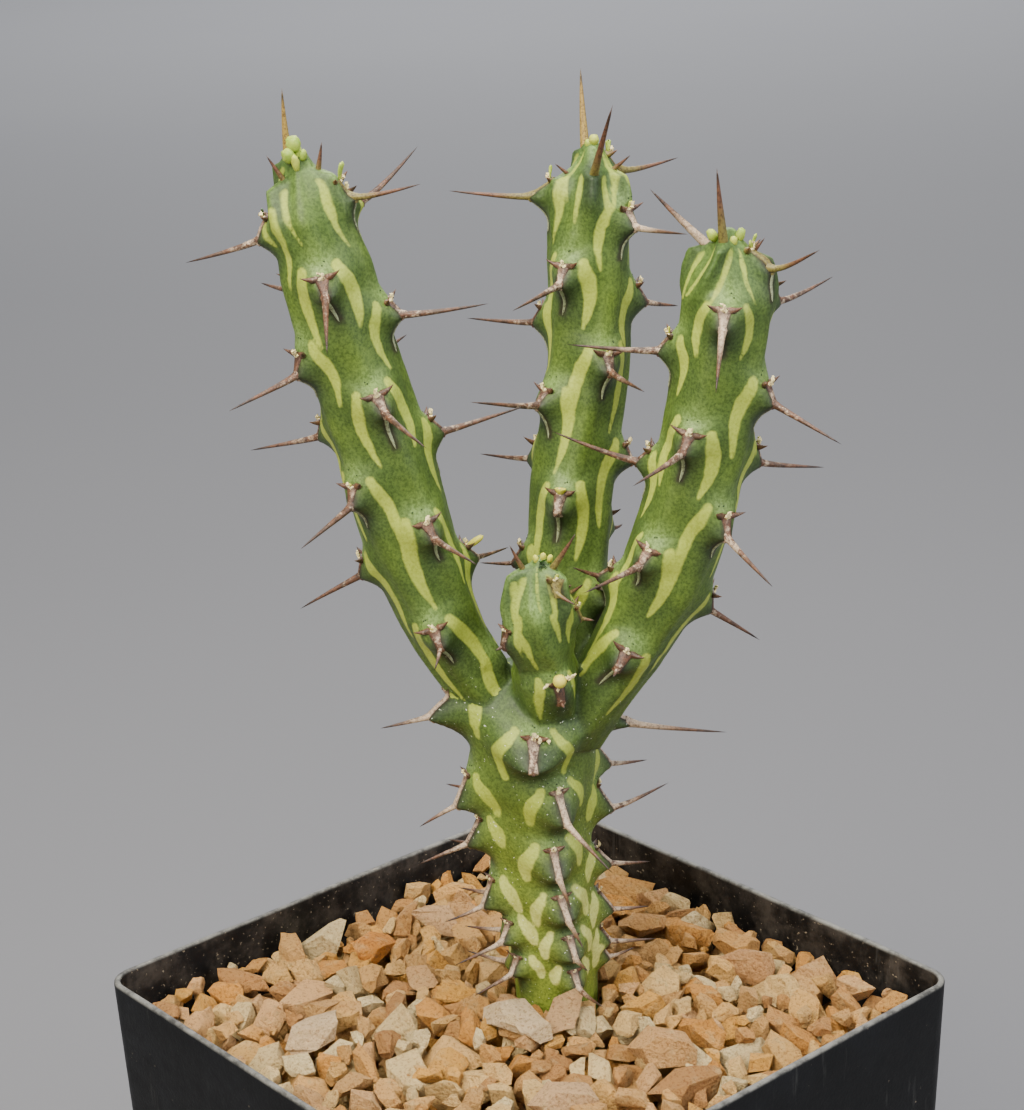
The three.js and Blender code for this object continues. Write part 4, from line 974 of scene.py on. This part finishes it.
FRESH = dict(tongue=0.0, head=0.0)
horn = dict(points=[], faces=[], marks={})
heads = []
for stem in STEMS:
    for tooth in stem["teeth"]:
        _, weather, bow, longer, _ = horn_draws.random(5)
        size, drop, length = tooth["size"], tooth["drop"], tooth["length"]
        if length == 0:
            continue
        small = stem is TRUNK or stem is SHOOT
        # a spine that still points up has no shield yet
        unfolded = tooth["rise"] < UPRIGHT
        age = 1.0 if tooth["young"] > 0.99 or stem is TRUNK else 0.2
        if stem is SHOOT and tooth["order"] > 5:
            age = 0.15
        dry = 1.0 if tooth["order"] in stem["white"] else min(1, stem["dry"] * (0.5 + weather))
        stubby = length < BROKEN
        # the shield: a broad T-shaped head, a narrow band down the keel, and the root of the spine
        head = (TRUNK_HEAD if stem is TRUNK else HEAD) * (0.55 + 0.45 * size) * (0.75 if stem is SHOOT else 1)
        if stubby and stem is TRUNK:
            head = STUB_HEAD
        waist = (TRUNK_WAIST if stem is TRUNK else WAIST) * (0.6 + 0.4 * size)
        down = np.linspace(0, drop + 0.65, 11)
        halves = waist + (head - waist) * np.clip(1 - down / (2.6 if stubby else 2.0), 0, 1) ** 1.5
        halves += (0.32 if stubby else 0) * (down / down[-1]) ** 5
        if unfolded:
            points, faces, side = strip(stem, tooth, 0.35 - down, halves, np.zeros(11), np.full(11, 0.2))
            top_mark = np.tile(np.repeat(np.exp(-(down / 1.1) ** 4), 7), 2)
            grow(horn, points, faces, along=0.0, side=side, tongue=0.0, head=top_mark, age=age, dry=dry)
        # the tongue below
        if unfolded and age > 0.18 and not small:
            share = np.linspace(0, 1, 8)
            halves = (TONGUE * np.sqrt(np.clip(1 - share ** 3, 0, 1)) + 0.04) * (0.7 + 0.3 * size)
            points, faces, side = strip(stem, tooth, -drop - 0.1 - tooth["tongue"] * share, halves,
                                        tooth["lean"] * share ** 1.3, np.full(8, 0.12), 4)
            grow(horn, points, faces, along=0.0, side=side, tongue=1.0, head=0.0, age=age, dry=dry)
        # the spine
        place, along, radius, out, _ = on_line(stem, tooth["height"] - drop, tooth["turn"])
        base = place + out * (radius + tooth["stand"])
        aim = around(along[None], tooth["bearing"])[0][0]
        rise = math.radians(tooth["rise"])
        tip = base + aim * length * math.cos(rise) + along * length * math.sin(rise)
        root = base - out * 1.3 + along * (0.5 if unfolded else -1.2)
        bend = base + (tip - base) * 0.32 + (out * 0.5 + along * (0.5 * (bow - 0.35))) * 0.07 * length
        steps = np.linspace(0, 1, 13)[:, None]
        path = ((1 - steps) ** 3 * root + 3 * (1 - steps) ** 2 * steps * (base + out * 0.15)
                + 3 * (1 - steps) * steps ** 2 * bend + steps ** 3 * tip)
        radii = (SPINE_RADIUS + 0.023 * min(length, 11)) * (1 - steps[:-1, 0]) ** 0.7 + 0.03
        radii[:3] *= (1.35, 1.3, 1.15)
        if not unfolded:
            radii *= 1.25
        points, faces, far = spike(path, radii)
        grow(horn, points, faces, along=far, side=0.3, age=age, dry=dry, **FRESH)
        if not unfolded:
            continue
        # the two prickles
        place, along, radius, out, side = on_line(stem, tooth["height"], tooth["turn"])
        (lift,), _ = relief(stem, *np.array([[radius], [tooth["height"]], [tooth["turn"]]]))
        top = place + out * (radius + lift)
        prickle = (SMALL_PRICKLE if small else PRICKLE) * (0.6 + 0.4 * size) * (0.88 + 0.24 * longer)
        for way in (-1, 1):
            start = top + side * way * head * 0.45 - out * 0.35
            end = (top + side * way * max(prickle, head + 0.3) + out * 0.22 * prickle
                   + along * (0.3 + 0.24 * prickle))
            middle = (start + end) / 2 - along * 0.16 + side * way * 0.12
            steps = np.linspace(0, 1, 7)[:, None]
            path = (1 - steps) ** 2 * start + 2 * (1 - steps) * steps * middle + steps ** 2 * end
            radii = PRICKLE_RADIUS * (0.6 + 0.4 * size) * (1 - steps[:-1, 0]) ** 1.1 + 0.02
            points, faces, far = spike(path, radii, 7)
            grow(horn, points, faces, along=0.25 + 0.5 * far, side=0.6, tongue=0.0, head=0.6, age=age,
                 dry=dry * 0.3)
        heads.append((stem, tooth, top, out, side, along, size * (0.75 if small else 1)))
# the upright spines of the crowns, which have no shield
for stem in STEMS:
    for down, bearing, rise, length, age, dry, _ in stem["crown"]:
        place, along, radius, out, _ = on_line(stem, stem["end"] - down, bearing)
        aim = out * math.cos(math.radians(rise)) + along * math.sin(math.radians(rise))
        steps = np.linspace(0, 1, 13)[:, None]
        path = (place + out * radius * 0.62 - aim * 1.4 + aim * steps * (length + 2.4)
                + out * 0.06 * length * steps * (1 - steps))
        radii = (0.4 + 0.03 * length) * (1 - steps[:-1, 0]) ** 0.85 + 0.03
        points, faces, far = spike(path, radii)
        grow(horn, points, faces, along=far, side=0.3, age=age, dry=dry, **FRESH)

# Dry horn: brown and satin where fresh, with grey-white weathered patches, dark sides and tips.
HORN_BROWN, HORN_RED, HORN_GREY, HORN_DARK = "#463020", "#67442c", "#bfaa8e", "#22160f"
HORN_YOUNG, HORN_YOUNG_TIP, HORN_AMBER, TONGUE_PALE = "#756c30", "#66422a", "#a08438", "#8f9873"
HORN_CRACK = "#8f7c66"
dry_horn, tree, where = new_material("dry_weathered_horn")
mark = {name: add(tree, "Attribute", {}, "Fac", attribute_name=name) for name in horn["marks"]}
blotch, patch, crack, rind = [
    add(tree, "TexNoise", {"Vector": where, "Scale": 1 / (size * MM), "Detail": detail, "Roughness": rough})
    for size, detail, rough in ((1.3, 5, 0.65), (1.1, 6, 0.75), (0.35, 5, 0.75), (0.5, 6, 0.7))]
blotch = add(tree, "MapRange", {"Value": blotch, "From Min": 0.38, "From Max": 0.62}, **SMOOTH)
body = add(tree, "Mix", {0: blotch, 6: HORN_BROWN, 7: HORN_RED}, 2, **COLOURS)
patch = add(tree, "Math", {0: mark["dry"], 1: 0.26, 2: patch}, operation="MULTIPLY_ADD")
patch = add(tree, "MapRange", {"Value": patch, "From Min": 0.56, "From Max": 0.68, "To Max": 0.85}, **SMOOTH)
fresh = add(tree, "MapRange", {"Value": mark["along"], "From Min": 0.85, "From Max": 0.35}, **SMOOTH)
off_head = add(tree, "MapRange", {"Value": mark["head"], "To Min": 1.0, "To Max": 0.15})
for share in (fresh, off_head):
    patch = add(tree, "Math", {0: patch, 1: share}, operation="MULTIPLY")
body = add(tree, "Mix", {0: patch, 6: body, 7: HORN_GREY}, 2, **COLOURS)
out_along = add(tree, "MapRange", {"Value": mark["along"], "From Min": 0.3, "From Max": 0.75}, **SMOOTH)
young = add(tree, "Mix", {0: out_along, 6: HORN_YOUNG, 7: HORN_YOUNG_TIP}, 2, **COLOURS)
amount = add(tree, "MapRange", {"Value": mark["age"], "From Min": 0.6, "From Max": 0.3}, **SMOOTH)
body = add(tree, "Mix", {0: amount, 6: body, 7: young}, 2, **COLOURS)
amount = add(tree, "MapRange", {"Value": mark["age"], "From Min": 0.0, "From Max": -0.3, "To Max": 0.85})
body = add(tree, "Mix", {0: amount, 6: body, 7: HORN_AMBER}, 2, **COLOURS)
body = add(tree, "Mix", {0: mark["tongue"], 6: body, 7: TONGUE_PALE}, 2, **COLOURS)
for name, low, high, most in (("side", 0.55, 0.95, 0.85), ("along", 0.82, 1.0, 0.75)):
    worn = add(tree, "MapRange", {"Value": mark[name], "From Min": low, "From Max": high,
                                  "To Max": most}, **SMOOTH)
    body = add(tree, "Mix", {0: worn, 6: body, 7: HORN_DARK}, 2, **COLOURS)
crack = add(tree, "MapRange", {"Value": crack, "From Min": 0.52, "From Max": 0.4, "To Max": 0.8}, **SMOOTH)
body = add(tree, "Mix", {0: crack, 6: body, 7: HORN_CRACK}, 2, blend_type="MULTIPLY", **COLOURS)
rind = add(tree, "Bump", {"Strength": 0.6, "Distance": 0.00018, "Height": rind})
shader = add(tree, "BsdfPrincipled", {"Base Color": body, "Roughness": 0.5, "IOR": 1.54, "Normal": rind})
add(tree, "OutputMaterial", {"Surface": shader})
finish_shells(horn, "horn_shields_and_spines", dry_horn)

# ---------------------------------------------------------------------------------------------
# Leaf scars. Where a tooth's small leaf dried up and fell, a crumb of cream, corky tissue is left
# on the shield's head. A few pores show above it. Older heads at the fork carry loose crumbs.
scars = dict(points=[], faces=[], marks={})
scar_draws = np.random.default_rng(8)


def crumb(shells, middle, aim, length, wide, rough=0.16, flat=1.0, rings=6, sides=6, **values):
    """A small rounded lump, stretched along aim and a little uneven."""
    steps = np.linspace(0, 1, rings + 1)[:, None]
    path = np.asarray(middle) + np.asarray(aim) * (steps - 0.5) * length
    radii = wide * np.sqrt(np.maximum(0.02, 1 - (2 * steps[:-1, 0] * 0.97 - 0.97) ** 2))
    points, faces, _ = spike(path, radii, sides, flat)
    points += scar_draws.normal(size=points.shape) * rough * wide
    grow(shells, points, faces, **values)


for stem, tooth, top, out, side, along, size in heads:
    a, b, c, d = scar_draws.random(4)
    size *= 1.0 if stem is TRUNK else 0.9
    # a pad along the head, the stub of the leaf on it, and on some a tuft beside it
    pad = top + out * 0.1 + along * 0.12
    crumb(scars, pad, side, 1.0 * size, 0.3 * size, 0.2, dark=0.0)
    stub = pad + along * (0.4 + 0.2 * a) * size + out * (0.1 + 0.25 * b) + side * (c - 0.5) * 0.5
    crumb(scars, stub, along + out * 0.5 * (b - 0.3), (0.7 + 0.5 * d) * size, (0.2 + 0.12 * a) * size, 0.3,
          dark=0.0)
    if d > 0.35:
        tuft = stub + along * 0.35 * size + side * (a - 0.5) * 0.7
        crumb(scars, tuft, side * (1 if b > 0.5 else -1) + along * 0.6, 0.7 * size, 0.16 * size, 0.35,
              dark=0.0)
    # two pores above the head
    for _ in range(2):
        e, f = scar_draws.random(2)
        spot = top + along * (1.3 + 0.9 * e) * size + side * (f - 0.5) * 2.2
        (spot,) = onto_skin(np.array([spot]), out[None], 0.0)
        crumb(scars, spot, out, 0.16, 0.11, 0.1, rings=4, dark=1.0)
    # loose crumbs on the old heads at the fork
    if (stem is TRUNK and tooth["order"] in (30, 32, 33)) or (stem is SHOOT and tooth["order"] == 3):
        for _ in range(6 if tooth["order"] == 30 else 14):
            e, f, g = scar_draws.normal(size=3)
            spot = top + side * (0.7 * e + 0.7) + along * (0.3 * f + 0.5) + out * 0.35 * abs(g)
            crumb(scars, spot, side * e + along * f + out, 0.34 + 0.2 * abs(g), 0.17 + 0.06 * abs(f), 0.3,
                  dark=0.0)

# Corky, papery scar tissue: cream and dull, browner in its folds.
SCAR_CREAM, SCAR_BROWN, PORE = "#e3d49a", "#9a7d55", "#26381f"
corky_scar, tree, where = new_material("dry_corky_scar")
dark = add(tree, "Attribute", {}, "Fac", attribute_name="dark")
folds = add(tree, "TexNoise", {"Vector": where, "Scale": 1 / (0.6 * MM), "Detail": 4, "Roughness": 0.7})
browner = add(tree, "MapRange", {"Value": folds, "From Min": 0.5, "From Max": 0.7, "To Max": 0.8}, **SMOOTH)
body = add(tree, "Mix", {0: browner, 6: SCAR_CREAM, 7: SCAR_BROWN}, 2, **COLOURS)
body = add(tree, "Mix", {0: dark, 6: body, 7: PORE}, 2, **COLOURS)
folds = add(tree, "Bump", {"Strength": 0.5, "Distance": 0.00015, "Height": folds})
shader = add(tree, "BsdfPrincipled", {"Base Color": body, "Roughness": 0.8, "IOR": 1.45, "Normal": folds})
add(tree, "OutputMaterial", {"Surface": shader})
finish_shells(scars, "leaf_scars", corky_scar)

# ---------------------------------------------------------------------------------------------
# Young leaves and buds. Soft, pale green stubs at the growing tips and on the youngest teeth, a
# tuft of tiny dark leaflets on the shoot, and one round yellow bud where the shoot starts.
growth = dict(points=[], faces=[], marks={})
# hues: 0 is green, 1 yellow, and this one stands for dark
YELLOW_BUD, DARK_LEAF = 1.0, 0.5
# each tip's lobes: sideways, towards the eye and up from the stem's end, then length, width, hue
LOBES = [(LEFT, [(-0.6, 0.6, 2.0, 2.1, 1.0, 0), (-1.2, 1.2, 0.7, 1.9, 0.92, 0), (-0.2, 0.4, 0.9, 1.7, 0.7, 0),
                 (0.5, 1.0, 0.7, 1.5, 0.42, 0), (-0.4, 1.7, -0.1, 2.2, 0.5, 0.3)]),
         (MIDDLE, [(0.1, 0.6, 1.3, 1.5, 0.65, 0.35), (-0.6, 0.4, 0.8, 1.3, 0.5, 0.2)]),
         (RIGHT, [(-1.9, 0.7, 0.3, 1.7, 0.72, 0.1), (1.4, 0.8, 0.2, 1.8, 0.62, 0.05),
                  (0.5, 1.6, -0.4, 1.5, 0.5, 0.3)]),
         (SHOOT, [(0.3, 0.6, 0.6, 1.3, 0.4, 0.6), (-0.6, 0.5, 0.35, 1.2, 0.4, 0.55),
                  (1.1, 0.4, 0.3, 1.2, 0.4, 0.6)])]
for stem, lobes in LOBES:
    end = on_line(stem, stem["end"], 0)[0]
    for x, toward, z, length, wide, hue in lobes:
        aim = np.array([0.25 * x, -0.15 * toward, 1.0])
        crumb(growth, end + [x, -toward, z], aim / np.linalg.norm(aim), length, wide, 0.05, 0.8, 8, 10, hue=hue)
# leaves on teeth: stem, tooth, length, half width, how far it leans out and aside, hue
LEAVES = [(LEFT, 20, 2.3, 0.62, 0.5, 0.3, 0.1), (MIDDLE, 17, 1.9, 0.5, -0.1, -0.9, 0.2),
          (MIDDLE, 18, 1.8, 0.6, 0.2, 0.3, 0.1), (RIGHT, 19, 1.9, 0.42, 0.4, 0.4, 0.15),
          (RIGHT, 19, 1.2, 0.35, -0.2, -0.8, 0.2), (LEFT, 4, 0.6, 0.3, 0.1, 0, 0.85),
          (MIDDLE, 16, 1.2, 0.42, 0.3, 0.2, 0.4), (MIDDLE, 11, 1.0, 0.5, 0.1, 0.4, 0.35),
          (MIDDLE, 6, 0.8, 0.75, 0.1, 0, 0.85), (LEFT, 19, 1.2, 0.3, 0.1, -0.6, 0.5),
          (RIGHT, 15, 1.1, 0.36, 0.2, -0.5, 0.6), (LEFT, 9, 0.7, 0.32, 0.5, 0.2, 0.7),
          (SHOOT, 11, 0.9, 0.3, 0.2, 0.7, 0.4)]
by_order = {(id(h[0]), h[1]["order"]): h for h in heads}
for stem, order, length, wide, lean, aside, hue in LEAVES:
    _, _, top, out, side, along, _ = by_order[id(stem), order]
    steps = np.linspace(0, 1, 9)[:, None]
    path = (top + out * 0.1 + along * (steps * length)
            + (out * lean + side * aside) * steps ** 1.8 * length * 0.6)
    radii = wide * (0.45 + 0.75 * steps[:-1, 0] ** 0.8 - 0.25 * steps[:-1, 0] ** 6)
    points, faces, _ = spike(path, radii, 8, 0.9 if hue > 0.8 else 0.42, out)
    grow(growth, points, faces, hue=hue)
# the round bud where the shoot starts
top, out, side, along = by_order[id(SHOOT), 3][2:6]
crumb(growth, top + out * 0.6 + along * 0.9, along, 1.75, 0.86, 0.01, rings=9, sides=12, hue=YELLOW_BUD)
# one yellow leaf lies aside on the left branch
crumb(growth, by_order[id(LEFT), 5][2] + [1.2, -0.3, 0.7], (0.83, 0, 0.55), 2.6, 0.58, 0.02, 0.8, 9, 10,
      hue=0.9)
# the tuft of dark leaflets on the shoot
end = on_line(SHOOT, SHOOT["end"], 0)[0]
for n in range(16):
    a, b, c = scar_draws.random(3)
    start = end + [0.1 + 0.5 * (a - 0.5), -0.9 - 0.6 * b, 0.2 - 0.3 * b]
    aim = np.array([math.cos(n * 0.9) * 0.9, -0.6, math.sin(n * 0.9) * 0.7]) * (0.6 + 0.5 * c)
    steps = np.linspace(0, 1, 5)[:, None]
    points, faces, _ = spike(start + aim * steps, 0.12 * (1 - 0.7 * steps[:-1, 0]), 5)
    grow(growth, points, faces, hue=DARK_LEAF)

# Young leaf tissue: soft, matt-satin and translucent, from fresh green to yellow.
LEAF_GREEN, LEAF_PALE, BUD_YELLOW, LEAF_DARK = "#84a036", "#9fb348", "#c9bf4a", "#263d1c"
young_leaf, tree, where = new_material("young_leaf_tissue")
hue = add(tree, "Attribute", {}, "Fac", attribute_name="hue")
cloud = add(tree, "TexNoise", {"Vector": where, "Scale": 1 / (1.1 * MM), "Detail": 3})
cloud = add(tree, "MapRange", {"Value": cloud, "From Min": 0.35, "From Max": 0.65}, **SMOOTH)
body = add(tree, "Mix", {0: cloud, 6: LEAF_GREEN, 7: LEAF_PALE}, 2, **COLOURS)
body = add(tree, "Mix", {0: hue, 6: body, 7: BUD_YELLOW}, 2, **COLOURS)
dark = add(tree, "Math", {0: hue, 1: DARK_LEAF, 2: 0.02}, operation="COMPARE")
body = add(tree, "Mix", {0: dark, 6: body, 7: LEAF_DARK}, 2, **COLOURS)
soft = add(tree, "TexNoise", {"Vector": where, "Scale": 1 / (0.5 * MM), "Detail": 3})
soft = add(tree, "Bump", {"Strength": 0.3, "Distance": 0.00012, "Height": soft})
shader = add(tree, "BsdfPrincipled", {"Base Color": body, "Roughness": 0.5, "IOR": 1.42, "Normal": soft,
                                      "Subsurface Weight": 0.15, "Subsurface Radius": (0.001, 0.0014, 0.0004),
                                      "Subsurface Scale": 1.0})
add(tree, "OutputMaterial", {"Surface": shader})
finish_shells(growth, "young_leaves_and_buds", young_leaf, 75)

# ---------------------------------------------------------------------------------------------
# Floor, light and camera. A wide pale sheet lies under the pot, in a grey room with four soft square
# lamps. The camera stands where the photograph was taken from.
bpy.ops.object.select_all(action="DESELECT")
bpy.ops.mesh.primitive_plane_add(size=6, location=(0, 0, -0.0004))
floor = bpy.context.object
floor.name = "floor"
paper, tree, where = new_material("pale_paper")
cloud = add(tree, "TexNoise", {"Vector": where, "Scale": 1 / (300 * MM), "Detail": 2})
body = add(tree, "Mix", {0: cloud, 6: "#66676b", 7: "#6a6b6e"}, 2, **COLOURS)
shader = add(tree, "BsdfPrincipled", {"Base Color": body, "Roughness": 0.8, "IOR": 1.45})
add(tree, "OutputMaterial", {"Surface": shader})
floor.data.materials.append(paper)

world = bpy.data.worlds.new("soft_room")
bpy.context.scene.world = world
world.use_nodes = True
sky = world.node_tree.nodes["Background"].inputs
sky["Color"].default_value, sky["Strength"].default_value = colour("#d9dbe0"), 0.5

turn = Matrix.Rotation(PLANT_TURN, 4, "Z")
MIDDLE_OF_PLANT = Vector((0, 0, 0.1))
# soft square lamps: place, what it shines at, size in m, power in W, tint
for name, place, target, size, power, tint in (
        ("key", (-0.28, -0.4, 0.56), MIDDLE_OF_PLANT, 0.38, 8.8, "#fff6ea"),
        ("fill", (0.5, -0.25, 0.42), MIDDLE_OF_PLANT, 0.45, 3.6, "#f3f5ff"),
        ("top", (0.02, -0.06, 0.85), MIDDLE_OF_PLANT, 0.42, 9, "#fffaf2"),
        ("back", (0.1, 2.1, 1.3), (0, 2.2, 0), 1.2, 58, "#ffffff")):
    light = bpy.data.lights.new(name, "AREA")
    light.shape, light.size, light.energy, light.color = "SQUARE", size, power, colour(tint)[:3]
    lamp = bpy.data.objects.new(name, light)
    bpy.context.collection.objects.link(lamp)
    lamp.location = turn @ Vector(place)
    lamp.rotation_euler = (turn @ Vector(target) - lamp.location).to_track_quat("-Z", "Y").to_euler()

# the camera as fitted to the pot's rim: lens in pixels of a frame 1110 high, roll, tilt, and its
# distance from a point over the middle of the pot, in mm
FRAME_PX, SENSOR = 1110, 36
LENS_PX, ROLL, TILT, AWAY = 2397.8, math.radians(2.119), math.radians(18.856), 296.92
AIM_X, AIM_Z = 0.416, 58.767
back = Vector((0, -math.cos(TILT), math.sin(TILT)))
right, up = Vector((1, 0, 0)), Vector((0, math.sin(TILT), math.cos(TILT)))
eye = Vector((AIM_X, 0, AIM_Z)) + back * AWAY
camera_data = bpy.data.cameras.new("camera")
camera = bpy.data.objects.new("camera", camera_data)
bpy.context.collection.objects.link(camera)
bpy.context.scene.camera = camera
local_x = right * math.cos(ROLL) - up * math.sin(ROLL)
local_y = right * math.sin(ROLL) + up * math.cos(ROLL)
axes = Matrix((local_x, local_y, back)).transposed().to_4x4()
camera.matrix_world = Matrix.Translation(to_metres([eye])[0]) @ turn @ axes
camera_data.sensor_width = SENSOR
camera_data.lens = LENS_PX * SENSOR / FRAME_PX
camera_data.clip_start, camera_data.clip_end = 0.01, 20
